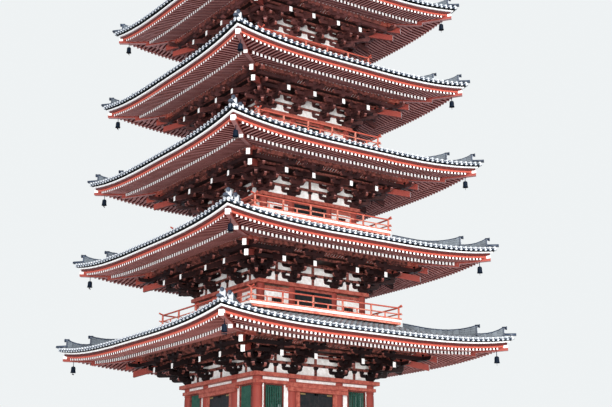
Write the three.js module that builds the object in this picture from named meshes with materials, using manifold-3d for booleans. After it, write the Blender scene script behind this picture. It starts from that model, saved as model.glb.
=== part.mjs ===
// Five-storey temple pagoda, a 1:2 scale model in millimetres, +Z up.
// The origin is the centre of the stone podium's underside; the front is -Y.
// From the ground up: podium with four flights of steps, ground storey with four double doors,
// then for every storey a ring of stepped brackets, the rafter layer and its tiled roof,
// a balcony with a railing round each upper storey, and a bronze finial on the top roof.
import * as THREE from "three";
import { mergeVertices } from "three/addons/utils/BufferGeometryUtils.js";
import Module from "manifold-3d";

const wasm = await Module();
wasm.setup();
const { Manifold } = wasm;

// Driving dimensions
const SEAT = 0.3; // gap between two pieces that rest on each other
const PODIUM_HALF = 3250;
const PODIUM_HEIGHT = 600;
const PODIUM_PLINTH = 90;
const STEP_COUNT = 5;
const STEP_DEPTH = 150;
const FLIGHT_HALF_WIDTH = 900;

// One entry per storey: half the distance between the corner columns' axes, half the distance
// between the inner columns' axes, and the top of the flat plate that crowns the columns.
const STOREYS = [
  { column: 2025, inner: 850, plateTop: 2970 },
  { column: 1875, inner: 780, plateTop: 5760 },
  { column: 1700, inner: 708, plateTop: 8530 },
  { column: 1535, inner: 554, plateTop: 11305 },
  { column: 1370, inner: 485, plateTop: 14098 },
];
// One entry per roof: half the width over the white eave board and its height at a corner.
const ROOFS = [
  { half: 5100, cornerHeight: 4161 },
  { half: 4811, cornerHeight: 6975 },
  { half: 4563, cornerHeight: 9774 },
  { half: 4320, cornerHeight: 12527 },
  { half: 4133, cornerHeight: 15276 },
];
// One entry per balcony, storeys two to five: half the width between its railings and its floor.
const BALCONIES = [
  { railHalf: 2710, floor: 4885 },
  { railHalf: 2513, floor: 7757 },
  { railHalf: 2304, floor: 10555 },
  { railHalf: 2104, floor: 13370 },
];

const CORNER_LIFT = 300; // how far each eave turns up from mid side to corner
const LIFT_POWER = 3.2;
// Where the straight stretches of an eave begin, from -1 to 1 along a side
const EAVE_MARKS = [-1, -0.8, -0.45, 0.45, 0.8];
const TILE_OVERHANG = 112;
const TILE_EDGE_RISE = 130; // top of the tiles at the eave, above the white eave board's middle
const EAVE_BOARD_HALF = 25;
const RAFTER_LAYER = 110;
const RAFTER_SLOPE = 0.27;
const BASE_RAFTER_BACK = 760; // from the white eave board back to the base rafters' ends
const BASE_RAFTER_DROP = 235;
const FLYING_RAFTER_BACK = 135;
const FLYING_RAFTER_DROP = 215;
const FLYING_RAFTER_FOOT = 150; // underside of the flying rafters where they leave the base ones
const HIP_WIDTH = 150;
const RIDGE_WIDTH = 150;
const MAIN_RIDGE_BACK = 650; // from the white eave board back to the end of the upper hip ridge
const SECOND_RIDGE_BACK = 73;
const BELL_BACK = 295;

const PLATE_OVERHANG = 180;
const GROUND_PLATE_OVERHANG = 245;
const PLATE_THICKNESS = 115;
const WALL_OUT = 75; // wall's outer face beyond the ground columns' axes
const WALL_IN = 45;
const COLUMN_RADIUS = 150;
const UPPER_COLUMN_RADIUS = 125;
const HEAD_BEAM_BOTTOM = 2590;
const WINDOW_HALF = 265;
const WINDOW_FOOT = 1545;
const WINDOW_HEAD = 2495;
const DOOR_HALF = 600;
const DOOR_HEAD = 2485;
const DOOR_BOARD_TOP = 2720; // the deep board in front of each door head
const DOOR_BOARD_THICKNESS = 40;
const SILL_HEIGHT = 50;
const LEAF_THICKNESS = 45;
const LEAF_CLEARANCE = 8;
const PIVOT_INSET = 10; // pivot axis, in from the hanging edge of a leaf
const PIVOT_RADIUS = 8;

const PURLIN_OUT = 1200; // eave purlin's axis, out from the column line
const PURLIN_HALF = 65;
const PURLIN_HEIGHT = 130;
const ARM_WIDTH = 110;
const FLOOR_OVERHANG = 60;
const WAIST_BACK = 425;
const WAIST_THICKNESS = 110;
const FLOOR_BOARD = 40;
const RAIL_HALF = 23; // half the thickness of a railing's top rail
const POST_HALF = 20;
const TOP_RAIL_REACH = 150; // how far the top rails run past the corner posts
const FINIAL_BASE_HALF = 330;
const APEX_RISE = 1990;

// Colours and surfaces
const finish = (color, roughness, metalness = 0) =>
  new THREE.MeshStandardMaterial({ color, roughness, metalness });
const VERMILION = () => finish(0xb5483a, 0.5);
const DARK_RED = () => finish(0x6e2c2a, 0.55);
const PLASTER = () => finish(0xe9e4dc, 0.8);
const TILE = () => finish(0x8b95a1, 0.42, 0.25);
const STONE = () => finish(0xa7a49c, 0.85);
const BRONZE = () => finish(0x3c5550, 0.45, 0.8);
const DOOR_PAINT = () => finish(0x2b2226, 0.5);

// Turns a three.js geometry into a solid that can be joined and cut.
function solid(geometry) {
  const bare = geometry.clone();
  bare.deleteAttribute("normal");
  bare.deleteAttribute("uv");
  const merged = mergeVertices(bare, 1e-4);
  const make = (triVerts) =>
    new Manifold(
      new wasm.Mesh({
        numProp: 3,
        vertProperties: merged.attributes.position.array,
        triVerts,
      }),
    );
  const triangles = new Uint32Array(merged.index.array);
  const made = make(triangles);
  return made.volume() > 0 ? made : make(triangles.reverse());
}

function join(solids) {
  return solids.reduce((sum, next) => sum.add(next));
}

function box(x0, x1, y0, y1, z0, z1) {
  const shape = new THREE.BoxGeometry(x1 - x0, y1 - y0, z1 - z0);
  return solid(shape.translate((x0 + x1) / 2, (y0 + y1) / 2, (z0 + z1) / 2));
}

// A square block centred on the tower's axis.
function block(half, z0, z1) {
  return box(-half, half, -half, half, z0, z1);
}

// A square ring round the tower's axis.
function ring(outer, inner, z0, z1) {
  return block(outer, z0, z1).subtract(block(inner, z0 - 1, z1 + 1));
}

function cylinder(radius, x, y, z0, z1, sides = 8) {
  const shape = new THREE.CylinderGeometry(radius, radius, z1 - z0, sides);
  shape.rotateX(Math.PI / 2).translate(x, y, (z0 + z1) / 2);
  return solid(shape);
}

// A round body turned about the vertical line through x, y from [radius, height] points.
function turned(profile, x = 0, y = 0, sides = 10) {
  const points = profile.map(([radius, height]) => new THREE.Vector2(radius, height));
  const shape = new THREE.LatheGeometry(points, sides);
  return solid(shape.rotateX(Math.PI / 2).translate(x, y, 0));
}

// Repeats a solid made for the front on all four sides.
function fourSides(piece) {
  return join([0, 90, 180, 270].map((turn) => piece.rotate([0, 0, turn])));
}

// A flat outline given as [distance outwards, height], stood upright in the plane that looks
// towards the front and given a thickness; heading 0 is -Y and 45 the corner at +X, -Y.
function upright(outline, thickness, heading = 0, sideways = 0) {
  const shape = new THREE.Shape(outline.map(([out, height]) => new THREE.Vector2(out, height)));
  const body = new THREE.ExtrudeGeometry(shape, { depth: thickness, bevelEnabled: false });
  body.translate(0, 0, -thickness / 2);
  body.rotateX(Math.PI / 2);
  body.rotateZ(-Math.PI / 2);
  body.translate(sideways, 0, 0);
  return solid(body).rotate([0, 0, heading]);
}

// A band round the tower with a square plan. The outline is given as [half width, height] and
// rises by lift(along, half) towards the corners, along running from -1 to 1 on each side.
function squareBand(outline, lift) {
  const steps = EAVE_MARKS.length;
  const closed = [...outline, outline[0]];
  const points = closed.map(([half, height]) => new THREE.Vector2(half, height));
  const shape = new THREE.LatheGeometry(points, 4 * steps);
  const place = shape.attributes.position;
  for (let i = 0; i < place.count; i += 1) {
    const half = Math.hypot(place.getX(i), place.getZ(i));
    const turn = Math.atan2(place.getX(i), place.getZ(i)) / (2 * Math.PI);
    const index = Math.round((turn < 0 ? turn + 1 : turn) * 4 * steps) % (4 * steps);
    const side = Math.floor(index / steps);
    const along = EAVE_MARKS[index % steps];
    const angle = (side * Math.PI) / 2;
    const x = half * along;
    const y = -half;
    const height = place.getY(i) + lift(Math.abs(along), half);
    place.setXYZ(
      i,
      x * Math.cos(angle) - y * Math.sin(angle),
      x * Math.sin(angle) + y * Math.cos(angle),
      height,
    );
  }
  return solid(shape);
}

const pagoda = new THREE.Group();

function addPiece(name, piece, material) {
  const mesh = piece.asOriginal().simplify(0.01).getMesh();
  const geometry = new THREE.BufferGeometry();
  geometry.setAttribute("position", new THREE.BufferAttribute(mesh.vertProperties, 3));
  geometry.setIndex(new THREE.BufferAttribute(mesh.triVerts, 1));
  geometry.computeVertexNormals();
  const made = new THREE.Mesh(geometry, material);
  made.name = name;
  pagoda.add(made);
}

// Heights that belong to one roof, level being 0 to 4 from the lowest.
function roofForm(level) {
  const { half, cornerHeight } = ROOFS[level];
  const { column } = STOREYS[level];
  const board = cornerHeight - CORNER_LIFT; // middle of the white eave board at mid side
  const liftFrom = column + PURLIN_OUT + PURLIN_HALF;
  const edge = half + TILE_OVERHANG;
  const lift = (along, at) => {
    const share = Math.min(1, Math.max(0, (at - liftFrom) / (edge - liftFrom)));
    return CORNER_LIFT * along ** LIFT_POWER * share ** 1.3;
  };
  const underside = (at) => board - BASE_RAFTER_DROP + RAFTER_SLOPE * (half - BASE_RAFTER_BACK - at);
  const layerInside = column - 60;
  const layerRise = underside(layerInside) + RAFTER_LAYER - (board - 40);
  const layerTop = (at) => board - 40 + (layerRise * (half - 200 - at)) / (half - 200 - layerInside);
  const top = level === 4;
  const inner = top ? FINIAL_BASE_HALF : BALCONIES[level].railHalf + FLOOR_OVERHANG - WAIST_BACK + SEAT;
  const edgeHeight = board + TILE_EDGE_RISE;
  const innerHeight = top ? edgeHeight + APEX_RISE : BALCONIES[level].floor - 63;
  const bend = top ? 0.42 : 0.22;
  const tileTop = (at) => {
    const share = (edge - at) / (edge - inner);
    return edgeHeight + (innerHeight - edgeHeight) * ((1 - bend) * share + bend * share * share);
  };
  const ridgeStart = top ? FINIAL_BASE_HALF + 65 : BALCONIES[level].railHalf + FLOOR_OVERHANG + 25;
  return { half, column, board, edge, inner, lift, underside, layerTop, tileTop, ridgeStart };
}

// Stone podium with a projecting foot and cap, door sills on its top, and its steps
function podium() {
  const body = block(PODIUM_HALF - 60, 0, PODIUM_HEIGHT);
  const foot = block(PODIUM_HALF, 0, PODIUM_PLINTH);
  const cap = block(PODIUM_HALF, PODIUM_HEIGHT - PODIUM_PLINTH, PODIUM_HEIGHT);
  const wallFace = STOREYS[0].column + WALL_OUT;
  const sill = box(
    -DOOR_HALF + SEAT,
    DOOR_HALF - SEAT,
    -wallFace - 30,
    -wallFace + 120,
    PODIUM_HEIGHT - 1,
    PODIUM_HEIGHT + SILL_HEIGHT,
  );
  return join([body, foot, cap, fourSides(sill)]);
}

function flight(heading) {
  const rise = PODIUM_HEIGHT / (STEP_COUNT + 1);
  const start = PODIUM_HALF + SEAT;
  const outline = [[start, 0]];
  for (let tread = 0; tread < STEP_COUNT; tread += 1) {
    const front = start + (STEP_COUNT - tread) * STEP_DEPTH;
    outline.push([front, tread * rise], [front, (tread + 1) * rise]);
  }
  outline.push([start, STEP_COUNT * rise]);
  return upright(outline, 2 * FLIGHT_HALF_WIDTH, heading);
}

// A corner of the ground storey: two walls with a window each, their round columns and the
// corner column. Made for the corner at +X, -Y.
function groundCorner() {
  const { column, inner } = STOREYS[0];
  const out = column + WALL_OUT;
  const back = column - WALL_IN;
  const foot = PODIUM_HEIGHT + SEAT;
  const head = HEAD_BEAM_BOTTOM - SEAT;
  const frontWall = box(DOOR_HALF, out, -out, -back, foot, head);
  const sideWall = box(back, out, -out, -DOOR_HALF, foot, head);
  const columns = [
    [inner, -column],
    [column, -column],
    [column, -inner],
  ].map(([x, y]) => cylinder(COLUMN_RADIUS, x, y, foot, head));
  const middle = (inner + column) / 2;
  const frontWindow = box(
    middle - WINDOW_HALF,
    middle + WINDOW_HALF,
    -out - 9,
    -back + 9,
    WINDOW_FOOT,
    WINDOW_HEAD,
  );
  const sideWindow = frontWindow.mirror([1, 1, 0]);
  const walls = join([frontWall, sideWall, ...columns]).subtract(block(back, 0, DOOR_HEAD * 2));
  return walls.subtract(frontWindow).subtract(sideWindow);
}

// The ring that crowns the ground columns: head tie beam, column tops, door heads with the
// deeper board in front of them, and the flat plate.
function groundCrown() {
  const { column, inner, plateTop } = STOREYS[0];
  const out = column + WALL_OUT;
  const plateBottom = plateTop - PLATE_THICKNESS;
  const beam = ring(out, column - WALL_IN, HEAD_BEAM_BOTTOM, plateBottom + 1);
  const plate = ring(column + GROUND_PLATE_OVERHANG, column - 100, plateBottom, plateTop);
  const doorHead = box(
    -DOOR_HALF + SEAT,
    DOOR_HALF - SEAT,
    -out - 30,
    -column + WALL_IN,
    DOOR_HEAD,
    HEAD_BEAM_BOTTOM + 1,
  );
  const columnFace = column + COLUMN_RADIUS + SEAT;
  const reach = inner + COLUMN_RADIUS + 85;
  const boardFace = columnFace + DOOR_BOARD_THICKNESS;
  const board = box(-reach, reach, -boardFace, -columnFace, DOOR_HEAD, DOOR_BOARD_TOP);
  const backing = box(
    -reach,
    reach,
    -columnFace - 1,
    -column,
    HEAD_BEAM_BOTTOM,
    DOOR_BOARD_TOP,
  );
  const tops = [-inner, inner, column].map((x) =>
    cylinder(COLUMN_RADIUS, x, -column, HEAD_BEAM_BOTTOM, plateBottom + 1),
  );
  return join([beam, plate, fourSides(join([doorHead, board, backing, ...tops]))]);
}

// One door leaf for the front, its pivot at the right-hand jamb, with a pivot pin at its foot
// and head, two rails and a meeting stile.
function doorLeaf() {
  const face = STOREYS[0].column + WALL_OUT;
  const sillTop = PODIUM_HEIGHT + SILL_HEIGHT;
  const bottom = sillTop + LEAF_CLEARANCE;
  const top = DOOR_HEAD - LEAF_CLEARANCE;
  const hingeEdge = DOOR_HALF - LEAF_CLEARANCE;
  const meetingEdge = LEAF_CLEARANCE / 2;
  const slab = box(meetingEdge, hingeEdge, -face + 8, -face + LEAF_THICKNESS, bottom, top);
  const stile = 70;
  const frame = box(meetingEdge, hingeEdge, -face, -face + 9, bottom, top);
  const middle = (meetingEdge + hingeEdge) / 2;
  const panelHalf = (hingeEdge - meetingEdge) / 2 - stile;
  const height = (top - bottom - 3 * stile) / 2;
  const panels = [0, 1].map((row) => {
    const low = bottom + stile + row * (height + stile);
    return box(middle - panelHalf, middle + panelHalf, -face - 1, -face + 8, low, low + height);
  });
  const pivot = cylinder(
    PIVOT_RADIUS,
    hingeEdge - PIVOT_INSET,
    -face + PIVOT_RADIUS,
    sillTop + SEAT,
    DOOR_HEAD - SEAT,
    6,
  );
  return join([slab, frame]).subtract(join(panels)).add(pivot);
}

// Walls of an upper storey: round columns, plastered bays with a window through each side bay,
// a closed double door in the middle bay, and the flat plate on top.
function upperWalls(level) {
  const { column, inner, plateTop } = STOREYS[level];
  const foot = BALCONIES[level - 1].floor + SEAT;
  const plateBottom = plateTop - PLATE_THICKNESS;
  const shell = ring(column + 40, column - 60, foot, plateBottom + 1);
  const plate = ring(column + PLATE_OVERHANG, column - 100, plateBottom, plateTop);
  const columns = [-inner, inner, column].map((x) =>
    cylinder(UPPER_COLUMN_RADIUS, x, -column, foot, plateBottom + 1),
  );
  const middle = (inner + column) / 2;
  const windowHalf = 0.14 * (column - inner);
  const windowFoot = foot + 120;
  const windowHead = foot + 340;
  const openings = [-middle, middle].map((x) =>
    box(x - windowHalf, x + windowHalf, -column - 60, -column + 80, windowFoot, windowHead),
  );
  const doorHalf = inner - 190;
  const doorFoot = foot + 70;
  const doorHead = plateBottom - 190;
  const doorRecess = box(-doorHalf, doorHalf, -column - 60, -column - 5, doorFoot, doorHead);
  const cuts = fourSides(join([...openings, doorRecess]));
  const room = block(column - 60, foot - 1, plateBottom + 2);
  return join([shell, plate, fourSides(join(columns)).subtract(room)]).subtract(cuts);
}

// The bracket ring of one storey: plastered wall band, an arm in three steps with its tail
// rafter on every column line, longer arms on the corners' diagonals, and the eave purlin.
function bracketRing(level) {
  const { column, inner, plateTop } = STOREYS[level];
  const form = roofForm(level);
  const foot = plateTop + SEAT;
  const bandTop = form.underside(column + 60) - SEAT;
  const band = ring(column + 60, column - 60, foot, bandTop);
  const purlinTop = form.underside(column + PURLIN_OUT + PURLIN_HALF) - SEAT;
  const purlinOut = column + PURLIN_OUT + PURLIN_HALF;
  const purlinFoot = purlinTop - PURLIN_HEIGHT;
  const purlin = ring(purlinOut, purlinOut - 2 * PURLIN_HALF, purlinFoot, purlinTop);
  const tailFoot = purlinFoot - 464;
  const secondStep = tailFoot + 35;
  const outline = (stretch) =>
    [
      [0, foot],
      [160, foot],
      [430, (foot + secondStep) / 2],
      [840, secondStep],
      [1275, tailFoot],
      [1275, tailFoot + 110],
      [1255, purlinFoot + 30],
      [1145, purlinFoot + 30],
      [0, purlinFoot + 100],
    ].map(([out, height]) => [stretch * (column + out), height]);
  const arms = [-column, -inner, inner, column].map((x) =>
    upright(outline(1), ARM_WIDTH, 0, x),
  );
  const diagonals = upright(outline(Math.SQRT2), ARM_WIDTH, 45);
  return join([band, purlin, fourSides(join([...arms, diagonals]))]);
}

// The rafter layer of one roof: base rafters, flying rafters, eave boards, a hip rafter to each
// corner and the bronze bell that hangs from it.
function eaves(level) {
  const form = roofForm(level);
  const { half, board, column, lift, underside, layerTop } = form;
  const inside = column - 60;
  const baseEnd = half - BASE_RAFTER_BACK;
  const flyingEnd = half - FLYING_RAFTER_BACK;
  const purlinOut = column + PURLIN_OUT + PURLIN_HALF;
  const outline = [
    [half, board + EAVE_BOARD_HALF],
    [half, board - EAVE_BOARD_HALF],
    [half - 110, board - 85],
    [flyingEnd, board - FLYING_RAFTER_DROP],
    [baseEnd, board - FLYING_RAFTER_FOOT],
    [baseEnd, board - BASE_RAFTER_DROP],
    [inside, underside(inside)],
    [inside, layerTop(inside)],
    [purlinOut, layerTop(purlinOut)],
    [half - 200, board - 40],
  ];
  const layer = squareBand(outline, lift);
  const corner = board + CORNER_LIFT;
  const hipOutline = [
    [half - 125, corner - 210],
    [half - 125, corner - 320],
    [half - 700, corner - 355],
    [half - 700, corner - 520],
    [purlinOut + 40, underside(purlinOut) - 80],
    [purlinOut + 40, underside(purlinOut) + 30],
    [half - 500, corner - 250],
  ].map(([out, height]) => [out * Math.SQRT2, height]);
  const hip = upright(hipOutline, HIP_WIDTH, 45);
  const bellAt = half - BELL_BACK;
  const rodTop = corner - 300;
  const bellTop = corner - 500;
  const bell = turned(
    [
      [0, rodTop],
      [9, rodTop],
      [9, bellTop],
      [48, bellTop - 20],
      [72, bellTop - 225],
      [0, bellTop - 215],
    ],
    bellAt,
    -bellAt,
    6,
  );
  return layer.add(fourSides(join([hip, bell])));
}

// The tile layer of one roof with its two-step hip ridges
function tiledRoof(level) {
  const form = roofForm(level);
  const { half, edge, inner, board, tileTop, lift, ridgeStart } = form;
  const purlinOut = form.column + PURLIN_OUT + PURLIN_HALF;
  const marks = level === 4 ? [edge, purlinOut, 1500, inner] : [edge, purlinOut, inner];
  const drop = tileTop(half) - (board + EAVE_BOARD_HALF + SEAT);
  const upper = marks.map((at) => [at, tileTop(at)]);
  const lower = [edge, half, ...marks.slice(1)].map((at) => [at, tileTop(at) - drop]).reverse();
  const layer = squareBand([...upper, ...lower], lift);
  const onDiagonal = (at) => tileTop(at) + lift(1, at);
  const mainEnd = half - MAIN_RIDGE_BACK;
  const secondEnd = half - SECOND_RIDGE_BACK;
  const middle = (purlinOut + mainEnd) / 2;
  const ridge = [
    [ridgeStart, onDiagonal(ridgeStart) - 60],
    [purlinOut, onDiagonal(purlinOut) - 60],
    [mainEnd, onDiagonal(mainEnd) - 60],
    [secondEnd, onDiagonal(secondEnd) - 40],
    [secondEnd, onDiagonal(secondEnd) + 240],
    [secondEnd - 100, onDiagonal(secondEnd - 100) + 130],
    [mainEnd, onDiagonal(mainEnd) + 120],
    [mainEnd, onDiagonal(mainEnd) + 317],
    [mainEnd - 110, onDiagonal(mainEnd - 110) + 195],
    [middle, onDiagonal(middle) + 190],
    [ridgeStart, onDiagonal(ridgeStart) + 190],
  ].map(([out, height]) => [out * Math.SQRT2, height]);
  const ridges = upright(ridge, RIDGE_WIDTH, 45);
  return layer.add(fourSides(ridges));
}

// Balcony of an upper storey: floor plate that also floors the room, its edge boards, and the
// waist frame that carries it on the roof below.
function balcony(level) {
  const { railHalf, floor } = BALCONIES[level - 1];
  const half = railHalf + FLOOR_OVERHANG;
  const below = roofForm(level - 1);
  const waist = half - WAIST_BACK;
  const waistInner = waist - WAIST_THICKNESS;
  const waistFoot = below.layerTop(waistInner) + SEAT;
  const plate = block(half, floor - FLOOR_BOARD, floor);
  const whiteBoard = ring(half, half - 50, floor - 80, floor - 1);
  const edgeBeam = ring(half - 15, half - 65, floor - 155, floor - 79);
  const frame = ring(waist, waistInner, waistFoot, floor - FLOOR_BOARD + 1);
  return join([plate, whiteBoard, edgeBeam, frame]);
}

// Railing: three rails whose ends cross past the corners, on posts
function railing(level) {
  const { railHalf, floor } = BALCONIES[level - 1];
  const foot = floor + SEAT;
  const lowRail = ring(railHalf + 28, railHalf - 28, foot, floor + 55);
  const middleRail = ring(railHalf + 20, railHalf - 20, floor + 165, floor + 205);
  const reach = railHalf + TOP_RAIL_REACH;
  const face = railHalf + RAIL_HALF;
  const back = railHalf - RAIL_HALF;
  const topRail = box(-reach, reach, -face, -back, floor + 358, floor + 404);
  const posts = [-0.6, -0.2, 0.2, 0.6, 1].map((share) => {
    const x = share * railHalf;
    return box(
      x - POST_HALF,
      x + POST_HALF,
      -railHalf - POST_HALF,
      -railHalf + POST_HALF,
      floor + 30,
      floor + 384,
    );
  });
  return join([lowRail, middleRail, fourSides(join([topRail, ...posts]))]);
}

// Finial parts, from the dew basin up to the jewel
const finialFoot = roofForm(4).tileTop(FINIAL_BASE_HALF) + SEAT;
const BASIN_TOP = finialFoot + 420;
const LOTUS_TOP = BASIN_TOP + 620;
const RING_COUNT = 9;
const RING_PITCH = 420;
const RINGS_TOP = LOTUS_TOP + 260 + RING_COUNT * RING_PITCH;
const FLAME_TOP = RINGS_TOP + 1050;
const POLE_RADIUS = 62;

function dewBasin() {
  return join([
    block(FINIAL_BASE_HALF + 50, finialFoot, finialFoot + 70),
    block(FINIAL_BASE_HALF - 10, finialFoot + 60, BASIN_TOP - 60),
    block(FINIAL_BASE_HALF + 50, BASIN_TOP - 70, BASIN_TOP),
  ]);
}

function bowlAndLotus() {
  const foot = BASIN_TOP + SEAT;
  return turned([
    [0, foot],
    [300, foot],
    [285, foot + 170],
    [205, foot + 290],
    [120, foot + 335],
    [170, foot + 400],
    [390, foot + 560],
    [360, LOTUS_TOP],
    [0, LOTUS_TOP],
  ]);
}

function nineRings() {
  const foot = LOTUS_TOP + SEAT;
  const pole = cylinder(POLE_RADIUS, 0, 0, foot, RINGS_TOP, 6);
  const parts = [pole];
  for (let count = 0; count < RING_COUNT; count += 1) {
    const z = LOTUS_TOP + 260 + count * RING_PITCH;
    const radius = 520 - count * 20;
    const wheel = [
      [radius - 45, z - 45],
      [radius, z - 45],
      [radius, z + 45],
      [radius - 45, z + 45],
      [radius - 45, z - 45],
    ];
    parts.push(turned(wheel, 0, 0, 8));
    parts.push(box(-radius + 30, radius - 30, -22, 22, z - 25, z + 25));
    parts.push(box(-22, 22, -radius + 30, radius - 30, z - 24, z + 24));
  }
  return join(parts);
}

function waterFlame() {
  const foot = RINGS_TOP + SEAT;
  const outline = [
    [0, foot],
    [60, foot],
    [60, foot + 90],
    [390, foot + 260],
    [330, foot + 700],
    [60, FLAME_TOP - 40],
    [0, FLAME_TOP],
  ];
  const pole = cylinder(POLE_RADIUS, 0, 0, foot, FLAME_TOP, 6);
  return pole.add(fourSides(upright(outline, 36)));
}

function wheelAndJewel() {
  const foot = FLAME_TOP + SEAT;
  return turned([
    [0, foot],
    [70, foot],
    [60, foot + 60],
    [170, foot + 120],
    [195, foot + 210],
    [150, foot + 310],
    [60, foot + 360],
    [60, foot + 430],
    [180, foot + 520],
    [205, foot + 620],
    [130, foot + 740],
    [0, foot + 860],
  ]);
}

// The assembly, from the ground up
addPiece("podium", podium(), STONE());
const SIDES = [
  { name: "front", heading: 0 },
  { name: "right", heading: 90 },
  { name: "back", heading: 180 },
  { name: "left", heading: 270 },
];
for (const { name, heading } of SIDES) {
  addPiece(`steps_${name}`, flight(heading), STONE());
}
const CORNERS = [
  { name: "front_right", heading: 0 },
  { name: "back_right", heading: 90 },
  { name: "back_left", heading: 180 },
  { name: "front_left", heading: 270 },
];
for (const { name, heading } of CORNERS) {
  addPiece(`ground_wall_${name}`, groundCorner().rotate([0, 0, heading]), VERMILION());
}
for (const { name, heading } of SIDES) {
  const leaf = doorLeaf();
  addPiece(`door_${name}_a`, leaf.rotate([0, 0, heading]), DOOR_PAINT());
  addPiece(`door_${name}_b`, leaf.mirror([1, 0, 0]).rotate([0, 0, heading]), DOOR_PAINT());
}
addPiece("ground_crown", groundCrown(), VERMILION());
for (let level = 0; level < STOREYS.length; level += 1) {
  const storey = level + 1;
  if (level > 0) {
    addPiece(`balcony_${storey}`, balcony(level), PLASTER());
    addPiece(`railing_${storey}`, railing(level), VERMILION());
    addPiece(`walls_${storey}`, upperWalls(level), PLASTER());
  }
  addPiece(`brackets_${storey}`, bracketRing(level), DARK_RED());
  addPiece(`eaves_${storey}`, eaves(level), DARK_RED());
  addPiece(`roof_${storey}`, tiledRoof(level), TILE());
}
addPiece("dew_basin", dewBasin(), BRONZE());
addPiece("bowl_and_lotus", bowlAndLotus(), BRONZE());
addPiece("nine_rings", nineRings(), BRONZE());
addPiece("water_flame", waterFlame(), BRONZE());
addPiece("wheel_and_jewel", wheelAndJewel(), BRONZE());

export default pagoda;
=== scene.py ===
"""Five-storey temple pagoda, a 1:2 model in metres: its modelled pieces, finishes, light and camera.

The origin is the centre of the stone podium's underside, +Z is up and -Y is the front. The tower is
alike on all four sides, so most pieces are laid out for the front side and for the corner at
+X, -Y, and then turned three more times by a quarter.
"""

import logging
import math
from collections.abc import Callable, Sequence
from dataclasses import dataclass, field, fields, replace
from enum import Enum
from functools import cached_property

import bmesh
import bpy
import numpy as np
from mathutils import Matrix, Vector


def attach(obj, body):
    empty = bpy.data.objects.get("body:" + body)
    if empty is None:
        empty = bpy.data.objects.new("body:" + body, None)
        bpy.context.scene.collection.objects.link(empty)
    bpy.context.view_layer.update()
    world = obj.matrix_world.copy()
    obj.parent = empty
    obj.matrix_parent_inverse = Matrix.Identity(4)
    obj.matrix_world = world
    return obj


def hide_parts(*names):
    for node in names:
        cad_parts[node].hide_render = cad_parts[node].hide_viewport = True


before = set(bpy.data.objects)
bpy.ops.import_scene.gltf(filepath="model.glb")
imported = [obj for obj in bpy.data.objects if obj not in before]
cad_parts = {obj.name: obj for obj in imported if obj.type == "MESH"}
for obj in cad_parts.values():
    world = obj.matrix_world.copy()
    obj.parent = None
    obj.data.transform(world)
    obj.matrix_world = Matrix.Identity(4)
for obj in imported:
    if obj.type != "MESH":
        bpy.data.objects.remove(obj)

LOG = logging.getLogger("pagoda")
Array = np.ndarray
Measure = float | np.ndarray  # one measure, or an array of them
Span = tuple[float, float]
Triple = tuple[float, float, float]
Outline = Sequence[Span]
Node = bpy.types.Node
Socket = bpy.types.NodeSocket
Feeds = dict[str | int, object]
Test = Callable[[Vector, Vector], bool]

ORIGIN = (0, 0, 0)
WHOLE = (1, 1, 1)
ROOT = math.sqrt(2)
NEAR = 1e-5  # how close two heights are to count as one

CORNER_LIFT = 0.300
TILE_OVERHANG = 0.112
PURLIN_OUT = 1.265
RAFTER_SLOPE = 0.27
RAFTER_PITCH = 0.14
TILE_PITCH = 0.20
TILE_COURSE = 0.25
BASE_RAFTER_BACK = 0.760
FLYING_RAFTER_BACK = 0.135
FLOOR_OVERHANG = 0.060
WAIST_BACK = 0.425  # from the balcony's edge to the frame under it
PLATE_OVERHANG = 0.180
GROUND_PLATE_OVERHANG = 0.245
TILE_EDGE_RISE = 0.130
APEX_RISE = 1.990
FINIAL_SEAT = 0.330  # half the width of the seat under the finial
LAP = 0.002  # how far a piece stops short of its neighbour's face at a corner
PLATE_THICKNESS = 0.115
PODIUM_HALF = 3.250
PODIUM_HEIGHT = 0.600
EASE = 0.006  # width of the eased edge on squared timber and stone
FINE_EASE = 0.0025
CURVE_CUTS = (0.3, 0.5, 0.62, 0.72, 0.8, 0.87, 0.94)  # shares of a side where an eave curves
LET_IN = 0.0007  # how far every second side is raised, so that laps share no plane
TURN_TONE = 0.37  # what a quarter turn adds to a copy's tone
MIRROR_TONE = 0.4
PAINTED_LIGHT_FROM_TO = (5.0, 15.5)  # heights between which the red paint is painted paler, as painted light on the upper storeys


class Paint(Enum):
    """The finishes that the tower's faces are given."""

    # VERMILION is the paint where light falls; SHADED is the same vermilion made darker as painted
    # shade, for timber under the eaves.
    VERMILION = "vermilion_paint"
    SHADED = "brick_red_paint"
    DARK_RED = "dark_red_paint"
    # RAFTER is a lighter red laid on rafter undersides and bracket arm ends as painted light.
    RAFTER = "worn_rafter_paint"
    # BRACKET is red paint made near-black as painted shade deep under the eaves, for brackets, wall
    # beams and soffits.
    BRACKET = "sooty_red_paint"
    WHITE = "white_paint"
    PLASTER = "lime_plaster"
    # TILE is the light silver-grey laid where light falls, at the eave course and the round ends:
    # painted light. FIELD is the same tile darker as painted shade.
    TILE = "silver_grey_tile"
    FIELD = "grey_field_tile"
    PAN = "shaded_pan_tile"
    RIDGE = "blue_grey_ridge_tile"
    CAP = "dark_blue_cap_tile"
    # BED is near-black as the painted shadow line under the tiles at the eave.
    BED = "sooty_clay_bed"
    GREEN = "green_bar_paint"
    DOOR = "door_paint"
    GILT = "gilt_metal"
    BRONZE = "weathered_bronze"
    BELL = "dark_bell_bronze"
    STONE = "dressed_stone"
    BOARD = "plain_board"


@dataclass(frozen=True)
class Storey:
    """Driving dimensions of one storey and of the roof over it.

    Attributes:
        number: Storey number, 1 for the ground storey.
        column: Half the distance between the corner columns' axes.
        inner: Half the distance between the inner columns' axes.
        plate: Height of the top of the flat plate over the columns.
        half: Half the width over the white eave board.
        corner: Height of the white eave board at a corner.
        rail: Half the width between the balcony railings, 0 on the ground storey.
        floor: Height of the storey's floor.
    """

    number: int
    column: float
    inner: float
    plate: float
    half: float
    corner: float
    rail: float
    floor: float


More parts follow.
